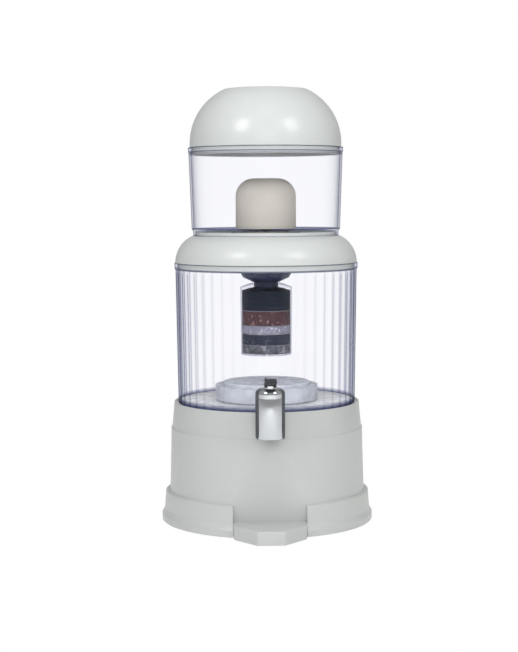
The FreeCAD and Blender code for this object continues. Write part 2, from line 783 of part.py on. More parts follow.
def cartridge():
    """Filter cartridge that hangs by its flange through the cover's deck, with its beds in layers."""
    flange_foot = "(seat_gap + cap_gasket)"
    gasket = turned("cap_gasket_ring", [
        ("deck_hole + seat_gap", "seat_gap"),
        ("cap_flange_radius - seat_gap", "seat_gap"),
        ("cap_flange_radius - seat_gap", flange_foot),
        ("deck_hole + seat_gap", flange_foot),
    ])
    place(gasket, z=DECK_TOP)
    keep(gasket, "cartridge_gasket")

    mouth = "(deck_hole - slip_gap - 2 * running_gap)"
    neck_bore = "(cap_plug_radius - cap_wall)"
    cap = turned("cap_funnel", [
        (neck_bore, "-cap_neck_depth - cap_plug_length"),
        ("cap_plug_radius", "-cap_neck_depth - cap_plug_length"),
        ("cap_plug_radius", "-cap_neck_depth"),
        ("cap_neck_radius", "-cap_neck_depth"),
        ("cap_throat_radius", "-cap_throat_depth"),
        (f"{mouth} - slip_gap", "-cap_mouth_depth"),
        (mouth, flange_foot),
        ("cap_flange_radius", flange_foot),
        ("cap_flange_radius", f"{flange_foot} + cap_flange"),
        (f"{mouth} - cap_wall", f"{flange_foot} + cap_flange"),
        (f"{mouth} - cap_wall", "-cap_mouth_depth + cap_wall / 2"),
        ("cap_throat_radius - cap_wall", "-cap_throat_depth + cap_wall"),
        (neck_bore, "-cap_neck_depth + cap_wall / 2"),
    ])
    place(cap, z=DECK_TOP)
    keep(cap, "cartridge_cap")

    collar_bore = "cap_plug_radius + thread_gap"
    housing = turned("housing_tube", [
        ("0", "0"),
        ("housing_radius - housing_taper", "0"),
        ("housing_radius", "housing_length - housing_collar - housing_shoulder"),
        ("cap_neck_radius + housing_shoulder", "housing_length - housing_collar"),
        ("cap_neck_radius", "housing_length - housing_collar"),
        ("cap_neck_radius", "housing_length"),
        (collar_bore, "housing_length"),
        (collar_bore, "housing_length - housing_collar - housing_shoulder"),
        ("housing_bore", "housing_length - housing_collar - 2 * housing_shoulder"),
        ("housing_bore", "housing_floor"),
        ("0", "housing_floor"),
    ])
    drain = pocketed(housing, "XY_Plane", [
        ("drain_inner", "-drain_width / 2"),
        ("drain_outer", "-drain_width / 2"),
        ("drain_outer", "drain_width / 2"),
        ("drain_inner", "drain_width / 2"),
    ], "housing_floor", "housing_drain", upwards=True)
    patterned(housing, drain, "drain_count", "housing_drains")
    housing_foot = f"({DECK_TOP} - cap_neck_depth - seat_gap - housing_length)"
    place(housing, z=housing_foot)
    keep(housing, "cartridge_housing")

    level = f"{housing_foot} + housing_floor"
    felts = []
    for bed, label in (
        ("gravel", "gravel_bed"),
        ("zeolite", "zeolite_bed"),
        ("silica", "silica_bed"),
        ("red", "red_ceramic_bed"),
        ("charcoal", "charcoal_bed"),
    ):
        felt = part("Part::Cylinder", f"{bed}_felt", Radius="housing_bore - thread_gap",
                    Height="felt_thickness")
        place(felt, z=level)
        felts.append(felt)
        level = f"{level} + felt_thickness"
        layer = part("Part::Cylinder", f"{bed}_layer", Radius="housing_bore - thread_gap",
                     Height=f"{bed}_depth")
        place(layer, z=level)
        level = f"{level} + {bed}_depth"
        if bed == "charcoal":
            slope = f"(housing_bore - ({collar_bore})) / housing_shoulder"
            heap = part("Part::Cone", "charcoal_heap", Height="charcoal_heap",
                        Radius1="housing_bore - thread_gap",
                        Radius2=f"housing_bore - thread_gap - charcoal_heap * {slope}")
            place(heap, z=level)
            layer = fused("charcoal_fill", layer, heap)
        keep(layer, label)
    pads = doc.addObject("Part::Compound", "felts")
    pads.Links = felts
    keep(pads, "felt_pads")


def upper_tank():
    """Clear upper tank with a floor bored for the filter's stem and a skirt over the guide ring."""
    floor_foot = "skirt_height"
    floor_top = "(skirt_height + upper_floor)"
    rim_foot = "(upper_height - upper_rim_band)"
    body = turned("upper_shell", [
        ("skirt_radius - upper_wall", "0"),
        ("skirt_radius", "0"),
        ("skirt_radius + seat_gap", floor_foot),
        ("upper_radius - upper_taper", floor_top),
        ("upper_radius", rim_foot),
        ("upper_rim_radius", rim_foot),
        ("upper_rim_radius", "upper_height"),
        ("upper_mouth", "upper_height"),
        ("upper_mouth", "upper_height - upper_rim_lip"),
        ("upper_radius - upper_wall", f"{rim_foot} + upper_rim_lip"),
        ("upper_radius - upper_taper - upper_wall", floor_top),
        ("thread_radius + slip_gap", floor_top),
        ("thread_radius + slip_gap", floor_foot),
        ("boss_radius - upper_wall", floor_foot),
        ("boss_radius - upper_wall", f"{floor_foot} - boss_drop"),
        ("boss_radius", f"{floor_foot} - boss_drop"),
        ("boss_radius", floor_foot),
        ("skirt_radius - upper_wall", floor_foot),
    ])
    place(body, z=UPPER_FOOT)
    keep(body, "upper_tank")


def ceramic_filter():
    """Ceramic dome on its plate, whose stem passes through the floor to a grip nut underneath."""
    gasket = turned("filter_ring", [
        ("thread_radius + thread_gap", "0"),
        ("filter_gasket_radius", "0"),
        ("filter_gasket_radius", "filter_gasket"),
        ("thread_radius + thread_gap", "filter_gasket"),
    ])
    plate_top = "(filter_gasket + filter_plate)"
    plate = turned("filter_foot", [
        ("thread_bore", "-thread_length"),
        ("thread_radius", "-thread_length"),
        ("thread_radius", "filter_gasket"),
        ("dome_radius - filter_plate", "filter_gasket"),
        ("dome_radius - filter_plate", "seat_gap"),
        ("dome_radius", "seat_gap"),
        ("dome_radius", plate_top),
        ("thread_bore", plate_top),
    ])
    shoulder = f"({plate_top} + dome_height - dome_round)"
    crown = f"({plate_top} + dome_height)"
    dome = turned("dome_shell", [
        ("dome_radius", plate_top),
        ("dome_radius", shoulder, "dome_round", "left"),
        ("dome_radius - dome_round", crown),
        ("0", crown),
        ("0", f"{crown} - dome_wall"),
        ("dome_radius - dome_round", f"{crown} - dome_wall", "dome_round - dome_wall", "right"),
        ("dome_radius - dome_wall", shoulder),
        ("dome_radius - dome_wall", plate_top),
    ])
    nut_top = "(-upper_floor - seat_gap)"
    nut = turned("grip_nut", [
        ("thread_radius + thread_gap", f"{nut_top} - filter_nut_height"),
        ("filter_nut_radius", f"{nut_top} - filter_nut_height"),
        ("filter_nut_radius", nut_top),
        ("thread_radius + thread_gap", nut_top),
    ])
    notch = pocketed(nut, "XY_Plane", round_outline("filter_nut_radius", "filter_nut_notch"),
                     "2 * (upper_floor + filter_nut_height)", "grip_notch")
    patterned(nut, notch, "filter_nut_notches", "grip_notches")
    for piece, label in (
        (gasket, "filter_gasket"),
        (plate, "filter_base"),
        (dome, "ceramic_dome"),
        (nut, "filter_nut"),
    ):
        place(piece, z=UPPER_FLOOR)
        keep(piece, label)


def lid():
    """Domed white lid: one round arc down to the rim, a flat top and a spigot inside the tank."""
    middle = "(lid_radius - lid_round)"
    inner = "(lid_round - lid_wall)"
    edge_rise = "(lid_height - lid_edge - lid_band)"
    edge_reach = f"sqrt((lid_round - lid_edge)^2 - {edge_rise}^2)"
    spread = "(lid_round / (lid_round - lid_edge))"
    ceiling = "(lid_height - lid_wall)"
    spigot = "(upper_mouth - slip_gap)"
    body = turned("lid_shell", [
        (f"{spigot} - lid_spigot_wall", "-lid_spigot"),
        (spigot, "-lid_spigot"),
        (spigot, "0"),
        ("lid_radius", "0"),
        ("lid_radius", "lid_band", "lid_round", "left"),
        (f"{middle} + {edge_reach} * {spread}", f"lid_band + {edge_rise} * {spread}", "lid_edge", "left"),
        (f"{middle} + {edge_reach}", "lid_height"),
        ("0", "lid_height"),
        ("0", ceiling),
        (f"{middle} + sqrt({inner}^2 - ({ceiling} - lid_band)^2)", ceiling, inner, "right"),
        (f"{middle} + sqrt({inner}^2 - (lid_wall - lid_band)^2)", "lid_wall"),
        (f"{spigot} - lid_spigot_wall", "lid_wall"),
    ])
    place(body, z=LID_FOOT)
    keep(body, "lid_dome")


for make in (stand, lower_tank, stone_case, tap_case, tap_top, lever, valve, cover, cartridge,
             upper_tank, ceramic_filter, lid):
    make()
doc.recompute()

for thing in doc.Objects:
    if "Invalid" in thing.State or "Error" in thing.State:
        raise ValueError(f"{thing.Name} is {thing.State}")
for node in nodes:
    if node.Shape.isNull() or not node.Shape.isValid():
        raise ValueError(f"{node.Label} has no valid shape")

os.makedirs("parts", exist_ok=True)
for node in nodes:
    node.Shape.exportStep(f"parts/{node.Label}.step")
    box = node.Shape.BoundBox
    print(f"{node.Label:20s} solids {len(node.Shape.Solids):3d} volume {node.Shape.Volume:12.1f}"
          f" z {box.ZMin:7.2f} {box.ZMax:7.2f}")
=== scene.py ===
import math

import bmesh
import bpy
import numpy as np
from mathutils import Matrix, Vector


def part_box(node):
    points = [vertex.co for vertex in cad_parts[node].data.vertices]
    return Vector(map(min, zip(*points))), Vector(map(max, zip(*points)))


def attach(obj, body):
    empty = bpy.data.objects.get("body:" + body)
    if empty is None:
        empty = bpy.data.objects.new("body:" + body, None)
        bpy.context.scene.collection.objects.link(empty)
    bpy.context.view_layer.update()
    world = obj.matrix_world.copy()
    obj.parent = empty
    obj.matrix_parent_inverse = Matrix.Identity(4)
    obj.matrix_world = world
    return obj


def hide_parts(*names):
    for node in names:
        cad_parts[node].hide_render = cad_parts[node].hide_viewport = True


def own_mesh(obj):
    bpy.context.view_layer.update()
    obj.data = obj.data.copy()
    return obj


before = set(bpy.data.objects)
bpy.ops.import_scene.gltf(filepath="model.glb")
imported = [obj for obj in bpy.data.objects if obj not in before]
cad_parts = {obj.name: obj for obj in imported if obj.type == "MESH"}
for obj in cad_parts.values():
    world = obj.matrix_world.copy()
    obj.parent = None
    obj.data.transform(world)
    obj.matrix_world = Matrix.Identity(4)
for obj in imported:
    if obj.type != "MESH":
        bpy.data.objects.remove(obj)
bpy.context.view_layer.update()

bl_info = {
    "name": "Gravity water filter",
    "version": (1, 0, 0),
    "blender": (4, 5, 0),
    "location": "3D View > Sidebar > Water filter",
    "description": "Dresses the packed water filter with moulded, clear, ceramic and chromed pieces",
    "category": "Object",
}

# Everything is in metres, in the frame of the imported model: +Z up, -Y towards the tap.
BOX = {name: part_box(name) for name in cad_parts}
MM = 0.001
FULL_TURN = 2 * math.pi

# The photograph's frame, and its camera as worked out from the ellipses of the rims
PHOTO_WIDTH = 518
PHOTO_HEIGHT = 652
FOCAL_PIXELS = 1530.0
AXIS_PIXEL = 266.3
SENSOR_MM = 36.0

# Sizes that several pieces share
SEAT_GAP = 0.3 * MM
TANK_WALL = 2.8 * MM
TANK_FLOOR = 3 * MM
TANK_FOOT_RADIUS = 118.8 * MM
TANK_TOP_RADIUS = 121.4 * MM
COVER_RISE = 35.7 * MM
GUIDE_RING = 5 * MM
TAP_HEIGHT = 16.2 * MM
TAP_REACH = 150 * MM
FACET_REACH = 118.4 * MM
FACET_LEAN = math.radians(5.2)
FACET_HALF = 47.5 * MM

WHITE = (1.0, 1.0, 1.0, 1.0)
STEEL = (0.55, 0.55, 0.56)


def low(node):
    """Height of a CAD node's lowest point."""
    return BOX[node][0].z


def high(node):
    """Height of a CAD node's highest point."""
    return BOX[node][1].z


def reach(node):
    """Half the width of a CAD node, which is its radius where it is round."""
    return (BOX[node][1].x - BOX[node][0].x) / 2


def length(name, words, default, smallest=0.0):
    """A size that a user may change."""
    return bpy.props.FloatProperty(name=name, description=words, default=default, min=smallest,
                                   unit="LENGTH", precision=5)


def colour(name, words, default):
    """A colour that a user may change."""
    return bpy.props.FloatVectorProperty(name=name, description=words, default=default, size=3,
                                         min=0.0, max=1.0, subtype="COLOR")


class FILTER_PG_sizes(bpy.types.PropertyGroup):
    """Sizes of the dressed pieces that a user may change."""

    soft_edge: length("Soft edge", "Radius of the moulded edges", 1.2 * MM)
    fine_edge: length("Fine edge", "Radius of small crisp edges", 0.35 * MM)
    clear_wall: length("Clear wall", "Wall of the upper tank", 2.5 * MM)
    reed_depth: length("Reed depth", "Depth of the valleys between the lower tank's reeds", 0.9 * MM)
    reed_count: bpy.props.IntProperty(name="Reeds", description="Upright reeds round the lower tank",
                                      default=48, min=8)
    charcoal_grain: length("Charcoal grain", "Width of a grain of charcoal", 2.2 * MM, 0.5 * MM)
    red_grain: length("Red bead", "Width of a red ceramic bead", 3.0 * MM, 0.5 * MM)
    silica_grain: length("Silica grain", "Width of a grain of silica", 1.6 * MM, 0.5 * MM)
    zeolite_grain: length("Zeolite grain", "Width of a grain of zeolite", 2.4 * MM, 0.5 * MM)
    gravel_grain: length("Gravel stone", "Width of a piece of gravel", 4.0 * MM, 0.5 * MM)


class FILTER_PG_colours(bpy.types.PropertyGroup):
    """Colours of the finishes."""

    lid_white: colour("Lid white", "Lid and shoulder cover", (0.50, 0.52, 0.51))
    stand_white: colour("Stand white", "Stand", (0.445, 0.46, 0.45))
    clear_tint: colour("Clear tint", "Clear plastic seen square on", (0.988, 0.989, 1.0))
    clear_edge: colour("Clear edge", "Clear plastic seen edge on", (0.2, 0.22, 0.35))
    smoke: colour("Smoke", "Translucent plastic of the stone case", (0.70, 0.73, 0.82))
    navy: colour("Navy", "Funnel of the cartridge", (0.045, 0.055, 0.12))
    cream: colour("Cream", "Ceramic dome", (0.58, 0.54, 0.49))
    charcoal: colour("Charcoal", "Charcoal grains", (0.007, 0.013, 0.026))
    red: colour("Red beads", "Red ceramic beads", (0.085, 0.042, 0.048))
    silica: colour("Silica", "Pale silica grains", (0.27, 0.26, 0.33))
    zeolite: colour("Zeolite", "Dark slate grains", (0.018, 0.024, 0.045))
    gravel: colour("Gravel", "Grey gravel", (0.10, 0.105, 0.12))
    chrome: colour("Chrome", "Chromed tap", (0.60, 0.62, 0.64))
    floor: colour("Floor", "Studio floor", (0.93, 0.93, 0.93))


class Value:
    """A shader socket that Python's sums can be written with."""

    def __init__(self, finish, socket):
        self.finish = finish
        self.socket = socket

    def _sum(self, operation, first, second):
        return self.finish.node("ShaderNodeMath", {"operation": operation}, {0: first, 1: second})

    def __add__(self, other):
        return self._sum("ADD", self, other)

    def __radd__(self, other):
        return self._sum("ADD", other, self)

    def __sub__(self, other):
        return self._sum("SUBTRACT", self, other)

    def __rsub__(self, other):
        return self._sum("SUBTRACT", other, self)

    def __mul__(self, other):
        return self._sum("MULTIPLY", self, other)

    def __rmul__(self, other):
        return self._sum("MULTIPLY", other, self)

    def __pow__(self, other):
        return self._sum("POWER", self, other)


class Finish:
    """A material, or the surroundings, and the nodes that make it."""

    def __init__(self, name, world=None):
        self.owner = world or bpy.data.materials.new(name)
        self.owner.use_nodes = True
        self.tree = self.owner.node_tree
        self.tree.nodes.clear()

    def node(self, kind, settings=None, sockets=None, output=0):
        """A node with its settings, then its sockets, as a Value of one of its outputs."""
        made = self.tree.nodes.new(kind)
        for key, setting in (settings or {}).items():
            setattr(made, key, setting)
        for key, given in (sockets or {}).items():
            if isinstance(given, Value):
                self.tree.links.new(given.socket, made.inputs[key])
            else:
                made.inputs[key].default_value = given
        return Value(self, made.outputs[output]) if made.outputs else None

    def coordinates(self):
        """The piece's own coordinates, in metres."""
        return self.node("ShaderNodeTexCoord", output="Object")

    def noise(self, size, detail=2.0, roughness=0.5):
        """Soft noise whose features are about that size, in metres."""
        return self.node("ShaderNodeTexNoise", {}, {
            "Vector": self.coordinates(), "Scale": 1 / size, "Detail": detail, "Roughness": roughness})

    def blend(self, share, first, second):
        """Two colours mixed by a share from 0 to 1."""
        return self.node("ShaderNodeMix", {"data_type": "RGBA"}, {0: share, 6: first, 7: second}, 2)

    def between(self, share, low_value, high_value):
        """A number that runs from one value to another with a share."""
        return share * (high_value - low_value) + low_value

    def bump(self, height, depth, strength=1.0):
        """A normal bent by a height from 0 to 1, over a depth in metres."""
        return self.node("ShaderNodeBump", {}, {
            "Height": height, "Distance": depth, "Strength": strength})

    def line(self, level, width, depth):
        """A share that is greatest at one height and falls to nothing a width above and below it."""
        height = self.node("ShaderNodeSeparateXYZ", {}, {0: self.coordinates()}, "Z")
        away = self.node("ShaderNodeMath", {"operation": "ABSOLUTE"}, {0: height - level})
        return self.node("ShaderNodeMapRange", {}, {
            "Value": away, "From Max": width, "To Min": depth, "To Max": 0.0})

    def capped(self, share):
        """A share kept from 0 to 1."""
        return self.node("ShaderNodeMath", {"operation": "ADD", "use_clamp": True}, {0: share, 1: 0.0})

    def principled(self, sockets):
        """The general shader with these sockets."""
        return self.node("ShaderNodeBsdfPrincipled", {}, sockets)

    def close(self, shader):
        """Puts a shader on the surface and gives the material."""
        self.node("ShaderNodeOutputMaterial", {}, {"Surface": shader})
        return self.owner


def full(tone, share=1.0):
    """A colour with its alpha, darkened or lightened by a share."""
    return tuple(min(part * share, 1.0) for part in tone) + (1.0,)


def finishes():
    """The colours as the user has set them."""
    return bpy.context.scene.filter_colours


def sizes():
    """The sizes as the user has set them."""
    return bpy.context.scene.filter_sizes


def moulded_plastic(name, tone, rough, mottle=0.03, grain=0.25 * MM, relief=0.006 * MM):
    """Moulded plastic: faint clouds in its colour and gloss, and a fine skin texture."""
    finish = Finish(name)
    cloud = finish.noise(60 * MM, 3.0)
    skin = finish.noise(grain, 2.0)
    sheen = finish.noise(14 * MM, 4.0)
    tint = finish.blend(cloud, full(tone, 1 - mottle), full(tone, 1 + mottle))
    return finish.close(finish.principled({
        "Base Color": tint,
        "Roughness": finish.between(sheen, rough - 0.04, rough + 0.04),
        "IOR": 1.5,
        "Coat Weight": 0.35,
        "Coat Roughness": 0.1,
        "Normal": finish.bump(skin, relief),
    }))


def clear_plastic(name, tint, edge, sharpness=6.0, shine=0.5, painted_shade_lines=(), reeded=0.0):
    """Clear moulded plastic: it lets light through, tinted more the more edge on it is seen, and has
    a thin glossy skin with faint flow marks. Painted shade darkens it in bands at given heights, each
    (height, width, depth), at thick rims, edges and where other parts sit in it, and painted shade
    darkens the valleys between reeds, more the more edge on."""
    finish = Finish(name)
    flow = finish.noise(9 * MM, 2.0)
    facing = finish.node("ShaderNodeLayerWeight", {}, {"Blend": 0.5}, "Facing")
    grazing_and_painted_shade = facing ** sharpness
    # Painted shade: a dark band at each given height, at thick rims, edges and seats of other parts.
    for level, width, depth in painted_shade_lines:
        grazing_and_painted_shade = grazing_and_painted_shade + finish.line(level, width, depth)
    # Painted shade: darker lines along the reeds' valleys, read from the piece's grain attribute.
    if reeded:
        valley = finish.node("ShaderNodeAttribute", {"attribute_name": "grain"}, output="Fac")
        grazing_and_painted_shade = grazing_and_painted_shade + valley * (facing ** 2.0 * reeded + 0.015)
    grazing_and_painted_shade = finish.capped(grazing_and_painted_shade)
    square_on = finish.node("ShaderNodeBsdfTransparent", {}, {"Color": full(tint)})
    edge_on = finish.node("ShaderNodeBsdfTransparent", {}, {"Color": full(edge)})
    through = finish.node("ShaderNodeMixShader", {}, {0: grazing_and_painted_shade, 1: square_on, 2: edge_on})
    skin = finish.node("ShaderNodeBsdfGlossy", {}, {
        "Color": WHITE, "Roughness": 0.05, "Normal": finish.bump(flow, 0.02 * MM)})
    gloss = facing ** 4.0 * (0.5 * shine) + 0.008
    return finish.close(finish.node("ShaderNodeMixShader", {}, {0: gloss, 1: through, 2: skin}))


def smoky_plastic(name, tone):
    """Translucent plastic: part lets light through and part scatters it, with cloudy patches."""
    finish = Finish(name)
    cloud = finish.noise(18 * MM, 4.0)
    through = finish.node("ShaderNodeBsdfTransparent", {}, {"Color": full(tone, 1.5)})
    body = finish.principled({
        "Base Color": finish.blend(cloud, full(tone, 0.85), full(tone, 1.25)),
        "Roughness": finish.between(cloud, 0.22, 0.34),
        "IOR": 1.5,
        "Normal": finish.bump(finish.noise(1.5 * MM), 0.01 * MM),
    })
    share = finish.between(cloud, 0.62, 0.78)
    return finish.close(finish.node("ShaderNodeMixShader", {}, {0: share, 1: through, 2: body}))


def porous_ceramic(name, tone):
    """Unglazed fired ceramic: warm clouds, pores and a chalky surface."""
    finish = Finish(name)
    cloud = finish.noise(22 * MM, 4.0, 0.6)
    pores = finish.noise(0.7 * MM, 3.0, 0.7)
    tint = finish.blend(cloud, full(tone, 0.93), full(tone, 1.08))
    return finish.close(finish.principled({
        "Base Color": finish.blend(pores * 0.35, tint, full(tone, 0.8)),
        "Roughness": finish.between(pores, 0.62, 0.8),
        "Normal": finish.bump(pores, 0.06 * MM, 0.6),
    }))


def grain_bed(name, tone, spread, fleck, fleck_share, rough=0.6):
    """Loose grains: each grain's own tone from the piece's attribute, with a share of pale flecks."""
    finish = Finish(name)
    own = finish.node("ShaderNodeAttribute", {"attribute_name": "grain"}, output="Fac")
    dust = finish.noise(0.6 * MM, 3.0)
    tint = finish.blend(own, full(tone, 1 - spread), full(tone, 1 + spread))
    pick = finish.node("ShaderNodeMath", {"operation": "LESS_THAN"}, {0: own, 1: fleck_share})
    flecked = finish.blend(pick, tint, full(fleck))
    return finish.close(finish.principled({
        "Base Color": finish.blend(dust * 0.4, flecked, full(tone, 0.7)),
        "Roughness": finish.between(dust, rough - 0.1, rough + 0.1),
        "Specular IOR Level": 0.15,
        "Normal": finish.bump(dust, 0.15 * MM, 0.5),
    }))


def chromed(name, tone, rough=0.06):
    """Polished chrome with faint smears and a trace of unevenness."""
    finish = Finish(name)
    smear = finish.noise(7 * MM, 4.0, 0.6)
    wave = finish.noise(5 * MM, 1.0)
    return finish.close(finish.principled({
        "Base Color": finish.blend(smear, full(tone, 0.94), full(tone, 1.04)),
        "Metallic": 1.0,
        "Roughness": finish.between(smear, rough - 0.02, rough + 0.05),
        "Normal": finish.bump(wave, 0.02 * MM, 0.5),
    }))


def soft_silicone(name, tone):
    """Matt silicone with a dusty skin."""
    finish = Finish(name)
    dust = finish.noise(1.2 * MM, 3.0)
    return finish.close(finish.principled({
        "Base Color": finish.blend(dust, full(tone, 0.92), full(tone, 1.04)),
        "Roughness": finish.between(dust, 0.5, 0.65),
        "Normal": finish.bump(dust, 0.02 * MM, 0.4),
    }))


def quads(rows, columns, around, closed, start):
    """Corner numbers of every quad of a grid, whose columns or rows may close on themselves."""
    row = np.arange(rows if closed else rows - 1)
    column = np.arange(columns if around else columns - 1)
    i, j = (part.ravel() for part in np.meshgrid(row, column, indexing="ij"))
    after_i = (i + 1) % rows
    after_j = (j + 1) % columns
    return start + np.stack([i * columns + j, i * columns + after_j,
                             after_i * columns + after_j, after_i * columns + j], 1)


def piece(name, sheets, material, body, stands_for=(), crease=38.0, tones=None):
    """One mesh from grids of points, each as (points, around, closed). Points that fall together are
    merged, which closes poles and seams, and the faces are turned outwards."""
    points = []
    faces = []
    start = 0
    for grid, around, closed in sheets:
        points.append(grid.reshape(-1, 3))
        faces.append(quads(grid.shape[0], grid.shape[1], around, closed, start))
        start += points[-1].shape[0]
    mesh = bpy.data.meshes.new(name)
    mesh.from_pydata(np.concatenate(points).tolist(), [], np.concatenate(faces).tolist())
    if tones is not None:
        mesh.attributes.new("grain", "FLOAT", "POINT").data.foreach_set("value", tones.ravel())
    tidy_mesh(mesh, crease)
    return settle(name, mesh, material, body, stands_for)


def tidy_mesh(mesh, crease):
    """Merges points that fall together, turns faces outwards and smooths all but sharp edges."""
    shape = bmesh.new()
    shape.from_mesh(mesh)
    bmesh.ops.remove_doubles(shape, verts=shape.verts, dist=2e-6)
    bmesh.ops.dissolve_degenerate(shape, edges=shape.edges, dist=1e-7)
    bmesh.ops.recalc_face_normals(shape, faces=shape.faces)
    shape.to_mesh(mesh)
    shape.free()
    mesh.polygons.foreach_set("use_smooth", np.ones(len(mesh.polygons), bool))
    mesh.set_sharp_from_angle(angle=math.radians(crease))


def settle(name, mesh, material, body, stands_for):
    """Puts a finished mesh in the scene, riding on its body and standing for its CAD nodes."""
    made = bpy.data.objects.new(name, mesh)
    bpy.context.scene.collection.objects.link(made)
    mesh.materials.clear()
    mesh.materials.append(material)
    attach(made, body)
    if stands_for:
        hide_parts(*stands_for)
    return made


def let_light_in(made):
    """Leaves a clear piece out of shadows and bounced light, so that what it holds is lit."""
    made.visible_shadow = False
    made.visible_diffuse = False
    return made


def finish_node(node, material):
    """Gives a CAD node that stays its own material."""
    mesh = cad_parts[node].data
    mesh.materials.clear()
    mesh.materials.append(material)


def arc(centre_r, centre_z, radius, start, end, steps=24):
    """Corners along an arc between two angles in degrees, 0 outwards and 90 upwards."""
    turn = np.radians(np.linspace(start, end, steps))
    return [(centre_r + radius * math.cos(t), centre_z + radius * math.sin(t), 0.0) for t in turn]


def rounded(corners, steps=5, closed=True):
    """A profile through corners (radius, height, rounding): each rounded corner becomes an arc that
    is tangent to both of its sides."""
    count = len(corners)
    profile = []
    for i, (across, up, rounding) in enumerate(corners):
        here = np.array((across, up))
        if rounding <= 0 or (not closed and i in (0, count - 1)):
            profile.append(here[None])
            continue
        back = np.array(corners[i - 1][:2]) - here
        ahead = np.array(corners[(i + 1) % count][:2]) - here
        long_back, long_ahead = np.linalg.norm(back), np.linalg.norm(ahead)
        back, ahead = back / long_back, ahead / long_ahead
        half = math.acos(np.clip(back @ ahead, -1, 1)) / 2
        pull = min(rounding / math.tan(half), 0.48 * long_back, 0.48 * long_ahead)
        radius = pull * math.tan(half)
        centre = here + (back + ahead) / np.linalg.norm(back + ahead) * (pull / math.cos(half))
        first = here + back * pull - centre
        last = here + ahead * pull - centre
        start = math.atan2(first[1], first[0])
        swing = (math.atan2(last[1], last[0]) - start + math.pi) % FULL_TURN - math.pi
        turn = start + swing * np.linspace(0, 1, steps)
        profile.append(centre + radius * np.stack([np.cos(turn), np.sin(turn)], 1))
    return np.concatenate(profile)


def turned(profile, columns=160, middle=(0.0, 0.0)):
    """A profile of (radius, height) turned about a vertical axis: x = r cos a, y = r sin a."""
    turn = np.linspace(0, FULL_TURN, columns, endpoint=False)[None, :]
    radius = profile[:, :1]
    height = profile[:, 1:2] + 0 * turn
    return np.stack([middle[0] + radius * np.cos(turn), middle[1] + radius * np.sin(turn), height], -1)


def shell_top(centre_r, centre_z, radius, top, edge):
    """Profile of a dome from its axis to its foot: a flat top, an edge arc that is tangent to both the
    flat and the dome, then the dome's own arc down to its centre's level."""
    rise = top - edge - centre_z
    across = centre_r + math.sqrt((radius - edge) ** 2 - rise ** 2)
    meet = math.degrees(math.atan2(rise, across - centre_r))
    flat = [(step, top, 0.0) for step in np.linspace(0, across, 8)[:-1]]
    bend = arc(across, top - edge, edge, 90, meet, steps=9)
    return flat + bend + arc(centre_r, centre_z, radius, meet, 0, steps=36)[1:]


def lid_surface(name="Lid"):
    """Domed lid, one closed skin turned about the axis: flat top, edge arc, dome arc of radius 79 mm,
    a short band, the spigot below it and the same shapes inside, one wall further in."""
    edge = sizes().soft_edge
    top = high("lid_dome")
    rim = reach("lid_dome")
    foot = high("upper_tank") + SEAT_GAP
    band = 4.8 * MM
    level = foot + band
    wall = 2.5 * MM
    bow = 79 * MM
    bend = 5 * MM
    outer = shell_top(rim - bow, level, bow, top, bend)
    inner = shell_top(rim - bow, level, bow - wall, top - wall, bend - wall)
    spigot, spigot_wall = 98.1 * MM, 2.3 * MM
    bore = spigot - spigot_wall
    bottom = low("lid_dome")
    crisp = 0.4 * edge
    corners = outer + [
        (rim, foot, crisp), (spigot, foot, 0.0), (spigot, bottom, crisp), (bore, bottom, crisp),
        (bore, foot + wall, 0.0), (rim - wall, foot + wall, 0.0),
    ] + inner[::-1]
    material = moulded_plastic("Lid white", finishes().lid_white, rough=0.3)
    return piece(name, [(turned(rounded(corners, closed=False), columns=192), True, False)], material,
                 "lid", ("lid_dome",))


def upper_tank_surface(name="Upper_tank"):
    """Clear upper tank turned about the axis: skirt, tapering wall, thick rim, floor and boss ring."""
    fine = sizes().fine_edge
    soft = sizes().soft_edge
    wall = sizes().clear_wall
    foot = low("upper_tank")
    top = high("upper_tank")
    rim = reach("upper_tank")
    skirt_depth, floor, rim_band, lip = 6.2 * MM, 2.5 * MM, 5.9 * MM, 2 * MM
    floor_foot = foot + skirt_depth
    floor_top = floor_foot + floor
    rim_foot = top - rim_band
    side_foot, side_top = 99.2 * MM, 102.7 * MM
    skirt, mouth, boss, stem = 97 * MM, 98.4 * MM, 46 * MM, 6.3 * MM
    boss_foot, mouth_foot = foot + 2.5 * MM, rim_foot + 2.5 * MM
    corners = [
        (skirt - wall, foot, fine), (skirt, foot, fine), (skirt + 0.3 * MM, floor_foot, 0.5 * soft),
        (side_foot, floor_top, soft), (side_top, rim_foot, fine), (rim, rim_foot, fine), (rim, top, fine),
        (mouth, top, fine), (mouth, top - lip, fine), (side_top - wall, mouth_foot, soft),
        (side_foot - wall, floor_top, soft), (stem, floor_top, fine), (stem, floor_foot, fine),
        (boss - wall, floor_foot, fine), (boss - wall, boss_foot, fine), (boss, boss_foot, fine),
        (boss, floor_foot, fine), (skirt - wall, floor_foot, fine),
    ]
    # Painted shade: dark bands at the rim's top and foot, the floor's top, the skirt's foot and where the
    # lid's spigot sits in the tank.
    painted_shade_lines = (
        (top, 1.0 * MM, 0.75), (rim_foot, 1.3 * MM, 0.6), (floor_top, 1.4 * MM, 0.7), (foot, 1.2 * MM, 0.45),
        (low("lid_dome") + 1.2 * MM, 2.2 * MM, 0.35),
    )
    look = finishes()
    material = clear_plastic("Clear upper tank", look.clear_tint, look.clear_edge, painted_shade_lines=painted_shade_lines)
    return piece(name, [(turned(rounded(corners), columns=192), True, True)], material,
                 "upper", ("upper_tank",))


